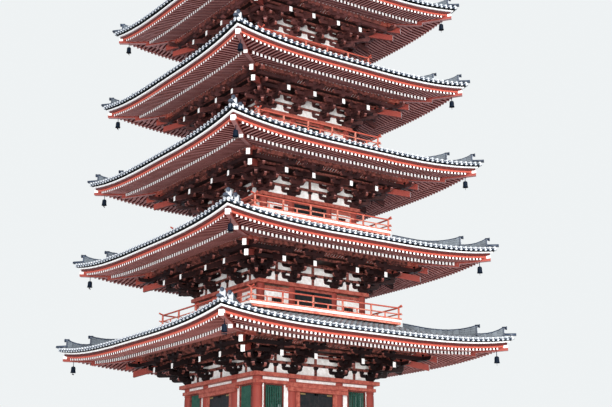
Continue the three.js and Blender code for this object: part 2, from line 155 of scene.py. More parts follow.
STOREYS = (
    Storey(1, 2.025, 0.850, 2.970, 5.100, 4.161, 0.0, 0.600),
    Storey(2, 1.875, 0.780, 5.760, 4.811, 6.975, 2.710, 4.885),
    Storey(3, 1.700, 0.708, 8.530, 4.563, 9.774, 2.513, 7.757),
    Storey(4, 1.535, 0.554, 11.305, 4.320, 12.527, 2.304, 10.555),
    Storey(5, 1.370, 0.485, 14.098, 4.133, 15.276, 2.104, 13.370),
)


class RoofForm:
    """Heights of one roof's tiles, rafters and boards as functions of the place on it."""

    def __init__(self, storey: Storey) -> None:
        """Works out the roof's reaches.

        Args:
            storey: The storey that the roof covers.
        """
        above = STOREYS[storey.number] if storey.number < len(STOREYS) else None
        self.storey = storey
        self.half = storey.half
        self.board = storey.corner - CORNER_LIFT
        self.edge = storey.half + TILE_OVERHANG
        self.lift_from = storey.column + PURLIN_OUT
        self.base_end = storey.half - BASE_RAFTER_BACK
        self.flying_end = storey.half - FLYING_RAFTER_BACK
        self.bend = 0.22 if above else 0.42
        self.inner = above.rail + FLOOR_OVERHANG - WAIST_BACK if above else FINIAL_SEAT
        self.inner_height = above.floor - 0.063 if above else self.board + TILE_EDGE_RISE + APEX_RISE
        self.ridge_start = above.rail + FLOOR_OVERHANG + 0.025 if above else 0.395

    def lift(self, along: Measure, out: Measure) -> Measure:
        """How far the eave is raised at a share along its side (-1 to 1) and a distance out."""
        share = np.clip((out - self.lift_from) / (self.edge - self.lift_from), 0.0, 1.0)
        return CORNER_LIFT * np.minimum(np.abs(along), 1.03) ** 3.2 * share**1.3

    def underside(self, out: Measure) -> Measure:
        """Underside of the base rafters at a distance out."""
        return self.board - 0.235 + RAFTER_SLOPE * (self.base_end - out)

    def flying_foot(self, out: Measure) -> Measure:
        """Underside of the flying rafters at a distance out."""
        return self.board - 0.215 + 0.104 * (self.flying_end - out)

    def tile_top(self, out: Measure) -> Measure:
        """Top of the tiles at a distance out.

        Args:
            out: The distance out.

        Returns:
            The height.
        """
        share = (self.edge - out) / (self.edge - self.inner)
        low = self.board + TILE_EDGE_RISE
        return low + (self.inner_height - low) * ((1 - self.bend) * share + self.bend * share**2)

    def at(self, x: Measure, out: Measure, height: Measure) -> Array:
        """Points on the front side, given to the right, out and up, raised with the eave."""
        x, out, height = np.broadcast_arrays(x, out, height)
        return np.stack([x, -out, height + self.lift(x / out, out)], axis=-1)

    def on_hip(self, across: Array, out: Array, height: Array) -> Array:
        """Points over the hip at +X, -Y, where out is the half width of the square at that place.

        Args:
            across: Distance sideways from the hip's middle.
            out: Half width of the square round the axis.
            height: Height before the eave's lift.

        Returns:
            The points, with x, y and z along the last axis.
        """
        across, out, height = np.broadcast_arrays(across, out, height)
        side = across / ROOT
        lifted = height + self.lift(np.ones_like(out), out)
        return np.stack([side + out, side - out, lifted], axis=-1)


@dataclass(frozen=True)
class Stock:
    """One modelled shape that is laid many times.

    Attributes:
        points: Its vertices, one row each.
        corners: Vertex number of each face corner.
        counts: Number of corners of each face.
        slots: Which of the laid finishes each face takes.
        smooth: Whether each face is shaded smooth.
        eased: 1 for the faces of an eased edge, else 0.
    """

    points: Array
    corners: Array
    counts: Array
    slots: Array
    smooth: Array
    eased: Array


def everywhere(place: Vector, normal: Vector) -> bool:
    """Picks every face or edge."""
    return True


class Bench:
    """A workpiece on the bench, shaped with Blender's own operators.

    Each step gives the bench itself, for the next step. A test is given the middle of a face
    and its normal, or the middle of an edge and its direction.
    """

    def __init__(self) -> None:
        """Takes the primitive that was just added and applies its place."""
        self.body = bpy.context.active_object
        bpy.ops.object.transform_apply(location=True, rotation=True, scale=True)
        self.body.data.attributes.new("eased", "FLOAT", "FACE")
        bpy.ops.object.mode_set(mode="EDIT")

    @classmethod
    def _start(cls, add: Callable[..., set[str]], **values: object) -> "Bench":
        """Starts from a primitive.

        Args:
            add: The operator that adds it.
            **values: What the operator is told.

        Returns:
            The bench with the new workpiece.
        """
        bpy.ops.object.select_all(action="DESELECT")
        add(**values)
        return cls()

    @classmethod
    def cube(cls, size: Triple, at: Triple = ORIGIN) -> "Bench":
        """Starts from a cube of a size, centred on a place."""
        return cls._start(bpy.ops.mesh.primitive_cube_add, size=1, location=at, scale=size)

    @classmethod
    def rod(
        cls, radius: float, length: float, sides: int, at: Triple = ORIGIN, turn: Triple = ORIGIN
    ) -> "Bench":
        """Starts from a cylinder along Z, turned by three angles."""
        size = {"vertices": sides, "radius": radius, "depth": length}
        return cls._start(bpy.ops.mesh.primitive_cylinder_add, location=at, rotation=turn, **size)

    @classmethod
    def hoop(cls, radius: float, thickness: float, sides: int, section: int) -> "Bench":
        """Starts from a torus round Z."""
        size = {"major_segments": sides, "minor_segments": section, "major_radius": radius}
        return cls._start(bpy.ops.mesh.primitive_torus_add, minor_radius=thickness, **size)

    def pick(self, test: Test, edges: bool = False) -> "Bench":
        """Selects the faces, or the edges, that pass a test.

        Args:
            test: The test.
            edges: Whether edges are picked instead of faces.

        Returns:
            The bench.
        """
        bpy.ops.mesh.select_mode(type="EDGE" if edges else "FACE")
        bpy.ops.mesh.select_all(action="DESELECT")
        mesh = bmesh.from_edit_mesh(self.body.data)
        if edges:
            for edge in mesh.edges:
                low, high = (v.co for v in edge.verts)
                edge.select_set(test((low + high) / 2, (high - low).normalized()))
        else:
            for face in mesh.faces:
                face.select_set(test(face.calc_center_median(), face.normal))
        mesh.select_flush_mode()
        bmesh.update_edit_mesh(self.body.data)
        return self

    def ease(self, width: float, test: Test = everywhere, steps: int = 1) -> "Bench":
        """Bevels the edges that pass a test and marks the new faces as eased.

        Args:
            width: Width of the bevel.
            test: The test.
            steps: Number of its flat strips.

        Returns:
            The bench.
        """
        self.pick(test, edges=True)
        bpy.ops.mesh.bevel(offset=width, segments=steps, affect="EDGES", clamp_overlap=True)
        mesh = bmesh.from_edit_mesh(self.body.data)
        layer = mesh.faces.layers.float["eased"]
        for face in mesh.faces:
            if face.select:
                face[layer] = 1.0
        bmesh.update_edit_mesh(self.body.data)
        return self

    def slice(self, at: Triple, normal: Triple, **how: bool) -> "Bench":
        """Cuts new edges where a plane crosses the workpiece.

        Args:
            at: A point of the plane.
            normal: The way that the plane faces.
            **how: What the operator is told besides.

        Returns:
            The bench.
        """
        bpy.ops.mesh.select_all(action="SELECT")
        bpy.ops.mesh.bisect(plane_co=at, plane_no=normal, **how)
        return self

    def saw(self, at: Triple, normal: Triple) -> "Bench":
        """Cuts off what lies beyond a plane and closes the cut."""
        return self.slice(at, normal, clear_outer=True, use_fill=True)

    def cut_across(self) -> "Bench":
        """Slices unit stock across X where an eave curves.

        Returns:
            The bench.
        """
        for share in CURVE_CUTS:
            self.slice((share / 2, 0, 0), (1, 0, 0)).slice((-share / 2, 0, 0), (1, 0, 0))
        return self

    def push(self, test: Test, by: Triple, scale: Triple = WHOLE) -> "Bench":
        """Extrudes faces.

        Args:
            test: Passed by the faces.
            by: How far they go.
            scale: How much their new place is scaled.

        Returns:
            The bench.
        """
        self.pick(test)
        bpy.ops.mesh.extrude_region_move(TRANSFORM_OT_translate={"value": by})
        return self._scale(scale)

    def sink(self, test: Test, depth: float) -> "Bench":
        """Extrudes faces inwards along their normals.

        Args:
            test: Passed by the faces.
            depth: How deep they go.

        Returns:
            The bench.
        """
        self.pick(test)
        bpy.ops.mesh.extrude_region_shrink_fatten(TRANSFORM_OT_shrink_fatten={"value": -depth})
        return self

    def inset(self, test: Test, width: float, depth: float = 0.0) -> "Bench":
        """Insets faces.

        Args:
            test: Passed by the faces.
            width: Width of the inset.
            depth: How far they are raised.

        Returns:
            The bench.
        """
        self.pick(test)
        bpy.ops.mesh.inset(thickness=width, depth=depth)
        return self

    def move(self, test: Test, by: Triple, scale: Triple = WHOLE) -> "Bench":
        """Moves faces without adding any.

        Args:
            test: Passed by the faces.
            by: How far they go.
            scale: How much they are scaled there.

        Returns:
            The bench.
        """
        self.pick(test)
        bpy.ops.transform.translate(value=by)
        return self._scale(scale)

    def _scale(self, scale: Triple) -> "Bench":
        """Scales what is picked about its own middle.

        Args:
            scale: The scale along each axis.

        Returns:
            The bench.
        """
        if scale != WHOLE:
            bpy.ops.transform.resize(value=scale)
        return self

    def grow(self, profile: Outline) -> "Bench":
        """Turns a body upwards from its top face.

        Args:
            profile: Radius and height of each of its next rings.

        Returns:
            The bench.
        """
        for radius, height in profile:
            mesh = bmesh.from_edit_mesh(self.body.data)
            top = max(v.co.z for v in mesh.verts)
            share = radius / max(v.co.xy.length for v in mesh.verts if abs(v.co.z - top) < NEAR)
            rise = (0, 0, height - top)
            self.push(lambda p, n: n.z > 0.9 and p.z > top - NEAR, rise, (share, share, 1))
        return self

    def _mark(self, test: Test, name: str, value: int | bool) -> "Bench":
        """Sets a property of faces.

        Args:
            test: Passed by the faces.
            name: The property's name.
            value: Its value.

        Returns:
            The bench.
        """
        mesh = bmesh.from_edit_mesh(self.body.data)
        for face in mesh.faces:
            if test(face.calc_center_median(), face.normal):
                setattr(face, name, value)
        bmesh.update_edit_mesh(self.body.data)
        return self

    def paint(self, test: Test, slot: int) -> "Bench":
        """Gives faces another of the finishes that the shape is laid with."""
        return self._mark(test, "material_index", slot)

    def round_off(self, test: Test = everywhere) -> "Bench":
        """Shades faces smooth."""
        return self._mark(test, "smooth", True)

    def stock(self) -> Stock:
        """Takes the finished shape off the bench.

        Returns:
            The shape.
        """
        bpy.ops.mesh.select_all(action="SELECT")
        bpy.ops.mesh.remove_doubles(threshold=1e-6)
        bpy.ops.mesh.normals_make_consistent(inside=False)
        bpy.ops.object.mode_set(mode="OBJECT")
        mesh = self.body.data
        faces = mesh.polygons
        points = np.empty(len(mesh.vertices) * 3)
        corners = np.empty(len(mesh.loops), np.int64)
        counts = np.empty(len(faces), np.int64)
        slots = np.empty(len(faces), np.int64)
        smooth = np.empty(len(faces), bool)
        eased = np.empty(len(faces), np.float32)
        mesh.vertices.foreach_get("co", points)
        mesh.loops.foreach_get("vertex_index", corners)
        faces.foreach_get("loop_total", counts)
        faces.foreach_get("material_index", slots)
        faces.foreach_get("use_smooth", smooth)
        mesh.attributes["eased"].data.foreach_get("value", eased)
        bpy.data.objects.remove(self.body)
        bpy.data.meshes.remove(mesh)
        return Stock(points.reshape(-1, 3), corners, counts, slots, smooth, eased)


def fit(stock: Stock, size: Array, stretch: str = "") -> Array:
    """Fits unit stock to sizes, keeping the width of its eased edges and shaped ends.

    Args:
        stock: A shape that fills the cube from -0.5 to 0.5.
        size: One size for each copy, in rows of x, y and z.
        stretch: The axes, of "xyz", that are scaled all over instead.

    Returns:
        The points of each copy, centred on the origin.
    """
    size = np.atleast_2d(np.asarray(size, float))[:, None, :]
    points = stock.points[None]
    kept = points + np.sign(points) * (size - 1) / 2
    axes = np.array([name in stretch for name in "xyz"])
    return np.where(axes, points * size, kept)


def turned(points: Array, yaw: Measure, at: Array) -> Array:
    """Turns copies about Z and moves them to their places.

    Args:
        points: The points of each copy.
        yaw: The angle in degrees, one for all or one for each.
        at: The place, one for all or one for each.

    Returns:
        The points of each copy in its place.
    """
    angle = np.radians(np.atleast_1d(yaw))[:, None]
    c, s = np.cos(angle), np.sin(angle)
    x = points[..., 0] * c - points[..., 1] * s
    y = points[..., 0] * s + points[..., 1] * c
    made = np.stack([x, y, points[..., 2] + np.zeros_like(x)], axis=-1)
    return made + np.atleast_2d(at)[:, None, :]


def quarter(points: Array, turns: int) -> Array:
    """Turns points about the tower's axis.

    Args:
        points: The points, one in each row.
        turns: Number of quarter turns.

    Returns:
        The turned points.
    """
    c, s = round(math.cos(turns * math.pi / 2)), round(math.sin(turns * math.pi / 2))
    x, y, z = points.T
    return np.stack([x * c - y * s, x * s + y * c, z], axis=1)


def ring_of(points: Array, turns: Array) -> Array:
    """Copies of one shape round the axis, one at each angle in degrees."""
    return turned(np.broadcast_to(points, (len(turns), *points.shape[-2:])), turns, ORIGIN)


def evenly(pairs: int, pitch: float) -> Array:
    """Places of pairs of copies on both sides of the middle, one in each row."""
    return (np.arange(-pairs, pairs)[:, None] + 0.5) * pitch


class Bundle:
    """Copies of stock shapes gathered into the mesh of one piece."""

    def __init__(self, kit: "Kit", name: str, seed: int) -> None:
        """Starts an empty piece.

        Args:
            kit: The stock shapes and finishes.
            name: The piece's name.
            seed: Start of the sequence that gives each copy its own tone.
        """
        self.kit = kit
        self.name = name
        self.random = np.random.default_rng(seed)
        self.paints: list[Paint] = []
        keys = ("points", "corners", "counts", "slots", "smooth", "eased", "tone")
        self.parts: dict[str, list[Array]] = {key: [] for key in keys}
        self.size = 0

    def _numbers(self, paints: Sequence[Paint]) -> Array:
        """Numbers that some finishes have in the piece, where new ones are added."""
        self.paints += [paint for paint in dict.fromkeys(paints) if paint not in self.paints]
        return np.array([self.paints.index(paint) for paint in paints])

    def lay(self, stock: Stock, placed: Array, *paints: Paint) -> None:
        """Adds copies of a shape.

        Args:
            stock: The shape.
            placed: The points of each copy, as copies by points by 3.
            *paints: The finish for each of the shape's slots.
        """
        placed = placed.reshape(-1, *placed.shape[-2:])
        copies, count = placed.shape[:2]
        starts = self.size + count * np.arange(copies)
        slots = self._numbers(paints)[np.minimum(stock.slots, len(paints) - 1)]
        tone = self.random.random(copies).astype(np.float32)
        rows = {
            "points": placed.reshape(-1, 3),
            "corners": (stock.corners[None] + starts[:, None]).ravel(),
            "counts": np.tile(stock.counts, copies),
            "slots": np.tile(slots, copies),
            "smooth": np.tile(stock.smooth, copies),
            "eased": np.tile(np.repeat(stock.eased, stock.counts), copies),
            "tone": np.repeat(tone, count),
        }
        for key, row in rows.items():
            self.parts[key].append(row)
        self.size += copies * count

    def stand(self, stock: Stock, size: Sequence[float], at: Sequence[float], paint: Paint) -> None:
        """Adds one copy, scaled to a size and moved to a place."""
        self.lay(stock, stock.points * size + at, paint)

    def blocks(
        self, boxes: Sequence[Sequence[float]], paint: Paint, stock: Stock | None = None
    ) -> None:
        """Adds unit stock fitted to boxes.

        Args:
            boxes: Each box as x0, x1, y0, y1, z0 and z1.
            paint: The finish.
            stock: The shape, squared timber unless it is another.
        """
        stock = stock or self.kit.squared
        ends = np.array(boxes, float).reshape(-1, 3, 2)
        points = fit(stock, ends[..., 1] - ends[..., 0]) + ends.mean(axis=-1)[:, None]
        self.lay(stock, points, paint)

    def take(self, other: "Bundle", mirrored: bool) -> None:
        """Adds all that another bundle holds.

        Args:
            other: The other bundle.
            mirrored: Whether it is mirrored across the diagonal of the corner at +X, -Y.
        """
        rows = {key: np.concatenate(values) for key, values in other.parts.items()}
        rows["slots"] = self._numbers(other.paints)[rows["slots"]]
        if mirrored:
            starts = np.cumsum(rows["counts"]) - rows["counts"]
            runs = [np.arange(s + c - 1, s - 1, -1) for s, c in zip(starts, rows["counts"])]
            order = np.concatenate(runs)
            x, y, z = rows["points"].T
            rows["points"] = np.stack([-y, -x, z + LET_IN], axis=1)
            rows["corners"] = rows["corners"][order]
            rows["eased"] = rows["eased"][order]
            rows["tone"] = (rows["tone"] + MIRROR_TONE) % 1
        rows["corners"] = rows["corners"] + self.size
        for key, row in rows.items():
            self.parts[key].append(row)
        self.size += other.size

    def quarter_turns(self) -> None:
        """Repeats all that was laid so far on the other three sides."""
        base = {key: np.concatenate(rows) for key, rows in self.parts.items()}
        for turn in (1, 2, 3):
            # Laps at the corners are let in by a hair, so that no two faces share a plane.
            rows = dict(base, points=quarter(base["points"], turn) + [0, 0, LET_IN * (turn % 2)])
            rows["corners"] = base["corners"] + turn * self.size
            rows["tone"] = (base["tone"] + TURN_TONE * turn) % 1.0
            for key, row in rows.items():
                self.parts[key].append(row)
        self.size *= 4

    def turn(self, quarters: int) -> None:
        """Turns all that was laid so far by quarters about the tower's axis."""
        self.parts["points"] = [quarter(points, quarters) for points in self.parts["points"]]

    def build(self, slot: str, *replaces: str, body: str = "tower") -> None:
        """Makes the piece's object and ties it to the frame.

        Args:
            slot: The record's material slot; not used.
            *replaces: The CAD nodes that the piece stands for.
            body: The CAD body that the piece rides on.
        """
        rows = {key: np.concatenate(value) for key, value in self.parts.items()}
        mesh = bpy.data.meshes.new(self.name)
        mesh.vertices.add(len(rows["points"]))
        mesh.vertices.foreach_set("co", rows["points"].ravel())
        mesh.loops.add(len(rows["corners"]))
        mesh.loops.foreach_set("vertex_index", rows["corners"].astype(np.int32))
        mesh.polygons.add(len(rows["counts"]))
        starts = np.cumsum(rows["counts"]) - rows["counts"]
        mesh.polygons.foreach_set("loop_start", starts.astype(np.int32))
        mesh.update(calc_edges=True)
        mesh.polygons.foreach_set("use_smooth", rows["smooth"])
        for paint in self.paints:
            mesh.materials.append(self.kit.finishes.material(paint))
        mesh.polygons.foreach_set("material_index", rows["slots"].astype(np.int32))
        for key, domain in (("tone", "POINT"), ("eased", "CORNER")):
            attribute = mesh.attributes.new(key, "FLOAT", domain)
            attribute.data.foreach_set("value", rows[key].astype(np.float32))
        mesh.validate()
        piece = bpy.data.objects.new(self.name, mesh)
        bpy.context.scene.collection.objects.link(piece)
        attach(piece, body)
        if replaces:
            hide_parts(*replaces)
        LOG.info("%s: %d triangles", self.name, int((rows["counts"] - 2).sum()))


class Kit:
    """The stock shapes and the finishes of the tower, each made when it is first asked for."""

    @cached_property
    def finishes(self) -> "Finishes":
        """The tower's materials."""
        return Finishes()

    @cached_property
    def squared(self) -> Stock:
        """A unit block with eased edges."""
        return Bench.cube(WHOLE).ease(EASE).stock()

    @cached_property
    def lath(self) -> Stock:
        """A unit block with fine edges, for laths and boards."""
        return Bench.cube(WHOLE).ease(FINE_EASE).stock()

    @cached_property
    def long_board(self) -> Stock:
        """A unit board eased along its front edges and cut across where an eave curves."""
        bench = Bench.cube(WHOLE).ease(EASE, lambda p, d: abs(d.x) > 0.9 and p.y < -0.4)
        return bench.cut_across().stock()

    @cached_property
    def sheet(self) -> Stock:
        """A unit sheet cut across both ways, for the bed under the tiles and the soffits.

        Returns:
            The shape.
        """
        bench = Bench.cube(WHOLE).cut_across()
        for share in (-0.4, -0.3, -0.15, 0.0, 0.2):
            bench.slice((0, share, 0), (0, 1, 0))
        return bench.stock()

    @cached_property
    def rafter(self) -> Stock:
        """A unit rafter, outer end at -Y: eased arrises below, a painted end, and an underside with
        its own slot, which the eaves lay in a lighter red as painted light.

        Returns:
            The shape.
        """
        bench = Bench.cube(WHOLE)
        bench.ease(EASE, lambda p, d: abs(d.y) > 0.9 and p.z < -0.4)
        bench.slice((0, 0, 0), (0, 1, 0))
        bench.paint(lambda p, n: n.z < -0.6, 2)
        bench.paint(lambda p, n: n.y < -0.9, 1)
        return bench.stock()

    @cached_property
    def bearing_block(self) -> Stock:
        """A unit bearing block: square above, drawn in below with a hollow curve.

        Returns:
            The shape.
        """
        bench = Bench.cube(WHOLE)
        bench.slice((0, 0, -0.05), (0, 0, 1))
        bench.slice((0, 0, -0.3), (0, 0, 1))
        bench.move(lambda p, n: n.z < -0.9, (0, 0, 0), (0.66, 0.66, 1))
        bench.pick(lambda p, d: abs(d.z) < 0.3 and abs(p.z + 0.3) < 0.02, edges=True)
        bpy.ops.transform.resize(value=(0.76, 0.76, 1))
        return bench.stock()

    @cached_property
    def arm(self) -> Stock:
        """A unit bracket arm along X whose lower ends are rounded up.

        Returns:
            The shape.
        """
        bench = Bench.cube(WHOLE)
        bench.ease(0.08, lambda p, d: abs(d.y) > 0.9 and p.z < -0.4, steps=3)
        # The end faces take the second finish, which the brackets lay in a lighter red as a painted
        # highlight.
        return bench.paint(lambda p, n: abs(n.x) > 0.99, 1).stock()

    @cached_property
    def column(self) -> Stock:
        """A round column of unit radius and height, drawn in a little at its head.

        Returns:
            The shape.
        """
        bench = Bench.rod(1, 0.9, 16, at=(0, 0, 0.45))
        bench.grow([(0.985, 0.965), (0.93, 0.99), (0.88, 1.0)])
        return bench.round_off(lambda p, n: abs(n.z) < 0.9).stock()

    @cached_property
    def round_tile(self) -> Stock:
        """A half-round cover tile, lower end at -Y, a little wider there.

        Returns:
            The shape.
        """
        bench = Bench.rod(0.056, 1, 10, turn=(math.pi / 2, math.pi / 10, 0))
        bench.saw((0, 0, -0.001), (0, 0, -1))
        bench.move(lambda p, n: n.y < -0.9, (0, 0, 0.001), (1.1, 1, 1.1))
        bench.move(lambda p, n: n.y > 0.9, (0, 0, 0), (0.9, 1, 0.9))
        return bench.round_off(lambda p, n: abs(n.y) < 0.9 and n.z > -0.5).stock()

    @cached_property
    def pan_tile(self) -> Stock:
        """A hollow pan tile, lower end at -Y and raised there over the next tile.

        Returns:
            The shape.
        """
        bench = Bench.cube((0.15, 1, 0.02))
        bench.slice((0, 0, 0), (1, 0, 0))
        bench.pick(lambda p, d: abs(p.x) < 0.01 and abs(d.y) > 0.9, edges=True)
        bpy.ops.transform.translate(value=(0, 0, -0.022))
        bench.move(lambda p, n: n.y < -0.9, (0, 0, 0.016))
        return bench.round_off(lambda p, n: abs(n.y) < 0.9 and abs(n.z) > 0.5).stock()

    @cached_property
    def end_disc(self) -> Stock:
        """The round end of a cover tile at the eave, facing -Y, with a rim and a plain boss.

        Returns:
            The shape.
        """
        bench = Bench.rod(0.062, 0.03, 10, turn=(math.pi / 2, math.pi / 10, 0))
        bench.inset(lambda p, n: n.y < -0.9, 0.013)
        bench.push(lambda p, n: n.y < -0.9 and p.xz.length < 0.01, (0, 0.009, 0), (0.95, 1, 0.95))
        return bench.round_off(lambda p, n: abs(n.y) < 0.5).stock()

    @cached_property
    def ridge_stack(self) -> Stock:
        """A unit length of ridge: flat tiles bedded in courses, seen as grooves in its sides.

        Returns:
            The shape.
        """
        bench = Bench.cube(WHOLE)
        for level in (-0.24, -0.2, 0.04, 0.08, 0.3, 0.34):
            bench.slice((0, 0, level), (0, 0, 1))
        grooves = ((-0.24, -0.2), (0.04, 0.08), (0.3, 0.34))
        bench.sink(lambda p, n: abs(n.x) > 0.9 and any(a < p.z < b for a, b in grooves), 0.08)
        return bench.stock()

    @cached_property
    def end_plate(self) -> Stock:
        """The plate that closes a ridge, facing -Y: rounded shoulders, scrolled feet and a boss.

        Returns:
            The shape.
        """
        bench = Bench.cube((0.2, 0.05, 0.24), at=(0, 0, 0.12))
        bench.slice((0, 0, 0.07), (0, 0, 1))
        bench.push(lambda p, n: abs(n.x) > 0.9 and p.z < 0.07, (0, 0, 0.02), (1.4, 1, 0.7))
        bench.ease(0.035, lambda p, d: abs(d.y) > 0.9 and p.z > 0.2, steps=3)
        bench.inset(lambda p, n: n.y < -0.9 and p.z > 0.07, 0.025, -0.008)
        bench.inset(lambda p, n: n.y < -0.9 and p.z > 0.09 and abs(p.x) < 0.01, 0.03, 0.02)
        return bench.paint(lambda p, n: n.y < -0.5, 1).stock()

    @cached_property
    def horn_tile(self) -> Stock:
        """The round tile that juts from a ridge's end towards -Y, its face closed by a disc.

        Returns:
            The shape.
        """
        bench = Bench.rod(0.036, 0.1, 10, turn=(math.pi / 2, 0, 0))
        bench.push(lambda p, n: n.y < -0.9, (0, 0, 0), (1.22, 1, 1.22))
        bench.push(lambda p, n: n.y < -0.9, (0, -0.025, 0))
        bench.inset(lambda p, n: n.y < -0.9, 0.014, -0.008)
        return bench.round_off(lambda p, n: abs(n.y) < 0.5).stock()

    @cached_property
    def bell(self) -> Stock:
        """A wind bell hung from its rod, with the plate under its clapper.

        Returns:
            The shape.
        """
        rod = Bench.rod(0.009, 0.2, 8, at=(0, 0, -0.1)).round_off(lambda p, n: abs(n.z) < 0.5)
        pieces = [rod.stock()]
        body = Bench.rod(0.068, 0.02, 12, at=(0, 0, -0.36))
        body.move(lambda p, n: n.z < -0.9, (0, 0, 0), (1.12, 1.12, 1))
        body.grow([(0.062, -0.30), (0.060, -0.22), (0.050, -0.185), (0.018, -0.17)])
        body.inset(lambda p, n: n.z < -0.9, 0.008)
        body.push(lambda p, n: n.z < -0.9 and p.xy.length < 0.01, (0, 0, 0.03), (0.8, 0.8, 1))
        pieces.append(body.round_off(lambda p, n: abs(n.z) < 0.7).stock())
        pieces.append(Bench.cube((0.13, 0.006, 0.034), at=(0, 0, -0.418)).ease(0.0015).stock())
        pieces.append(Bench.rod(0.004, 0.09, 6, at=(0, 0, -0.365)).stock())
        return joined(pieces)

    @cached_property
    def stud(self) -> Stock:
        """A domed stud or cap of unit radius, facing up.

        Returns:
            The shape.
        """
        bench = Bench.rod(1, 0.2, 8, at=(0, 0, 0.1))
        bench.grow([(0.8, 0.55), (0.4, 0.8)])
        return bench.round_off(lambda p, n: p.z > 0.05).stock()

    @cached_property
    def blade(self) -> Stock:
        """A unit blade along Y that tapers to its far end, cut so that it can curl.

        Returns:
            The shape.
        """
        bench = Bench.cube(WHOLE, at=(0, 0.5, 0))
        bench.ease(0.2, lambda p, d: abs(d.y) > 0.9)
        for share in range(1, 9):
            bench.slice((0, share / 9, 0), (0, 1, 0))
        return bench.round_off(lambda p, n: abs(n.y) < 0.9).stock()


def joined(shapes: Sequence[Stock]) -> Stock:
    """Joins several shapes into one stock shape.

    Args:
        shapes: The shapes.

    Returns:
        The joined shape.
    """
    starts = np.cumsum([0] + [len(shape.points) for shape in shapes[:-1]])
    moved = [replace(s, corners=s.corners + start) for s, start in zip(shapes, starts)]
    return Stock(*(np.concatenate([getattr(s, part.name) for s in moved]) for part in fields(Stock)))


@dataclass
class Assembly:
    kit: Kit
    piece: Bundle = field(init=False)

    def start(self, name: str, seed: int) -> None:
        """Starts a piece with a name and the seed of its tones."""
        self.piece = Bundle(self.kit, name, seed)

    def finish(self, slot: str, *replaces: str) -> None:
        """Repeats the piece's one side on the other three and builds it."""
        self.piece.quarter_turns()
        self.piece.build(slot, *replaces)


@dataclass
class RoofTiles(Assembly):
    """The tiled surface of one roof: bed, pan tiles, rows of cover tiles and their eave ends."""

    form: RoofForm
    bed_drop: float = 0.065
    cover_drop: float = 0.056

    def build(self) -> None:
        """Lays the tiles of one side and turns them round the tower."""
        number = self.form.storey.number
        self.start(f"roof_tiles_{number}", number)
        edge = self.form.edge
        count = round(2 * edge / TILE_PITCH)
        pitch = 2 * edge / count
        covers = (np.arange(count) - (count - 1) / 2) * pitch
        pans = (np.arange(count + 1) - count / 2) * pitch
        self._bed()
        drop = -self.cover_drop
        self._rows(self.kit.round_tile, covers, drop, Paint.TILE, Paint.FIELD)
        drop = -self.bed_drop + 0.012
        self._rows(self.kit.pan_tile, pans, drop, Paint.PAN, Paint.PAN)
        self._eave_ends(covers, pans)
        self.finish("grey_tile", f"roof_{number}")

    def _bed(self) -> None:
        """Lays the closed bed under the tiles, near-black as the painted shadow line under their
        eave.
        """
        form, points = self.form, self.kit.sheet.points
        along, back, up = points[:, 0] * 2, points[:, 1] + 0.5, points[:, 2] + 0.5
        out = form.edge - 0.02 - back * (form.edge - 0.02 - form.inner)
        height = form.tile_top(out) - self.bed_drop - 0.04 * (1 - up)
        self.piece.lay(self.kit.sheet, form.at(along * out, out, height), Paint.BED)

    def _rows(self, stock: Stock, rows: Array, drop: float, eave: Paint, rest: Paint) -> None:
        """Lays rows of tiles from the eave up to the hip or the balcony.

        Args:
            stock: The tile.
            rows: Distance to the right of each row.
            drop: Height of the tile's seat, from the top of the tiles.
            eave: The finish of the tiles at the eave, lighter as painted light.
            rest: The finish of all the others, darker as painted shade.
        """
        form = self.form
        spans = []
        for x in rows:
            stop = max(form.inner, abs(x) + 0.02)
            out = form.edge - 0.01
            while out - stop > 0.04:
                back = max(out - TILE_COURSE, stop)
                spans.append((x, out, back))
                out = back
        courses = np.array(spans)
        at_eave = courses[:, 1] > form.edge - 0.02
        points = stock.points[None]
        for chosen, finish in ((courses[at_eave], eave), (courses[~at_eave], rest)):
            x, front, back = chosen.T[:, :, None]
            out = front - (points[..., 1] + 0.5) * (front - back)
            height = form.tile_top(out) + drop + points[..., 2]
            self.piece.lay(stock, form.at(x + points[..., 0], out, height), finish)

    def _eave_ends(self, covers: Array, pans: Array) -> None:
        """Lays the round end of each row and the drooping lip of each pan.

        Args:
            covers: Distance to the right of each row of cover tiles.
            pans: Distance to the right of each row of pan tiles.
        """
        form, kit = self.form, self.kit
        covers = covers[np.abs(covers) < form.edge - 0.05][:, None]
        pans = pans[np.abs(pans) < form.edge - 0.1][:, None]
        top = form.tile_top(form.edge)
        places = form.at(covers, form.edge, top - self.cover_drop + 0.014)
        self.piece.lay(kit.end_disc, places + kit.end_disc.points + [0, 0.022, 0], Paint.TILE)
        places = form.at(pans, form.edge, top - self.bed_drop + 0.006)
        lip = kit.pan_tile.points * [0.95, 0.03, 1.5] + [0, 0.012, 0]
        # The pans' lips between the round ends are dark as painted shade in the gaps.
        self.piece.lay(kit.pan_tile, places + lip, Paint.CAP)


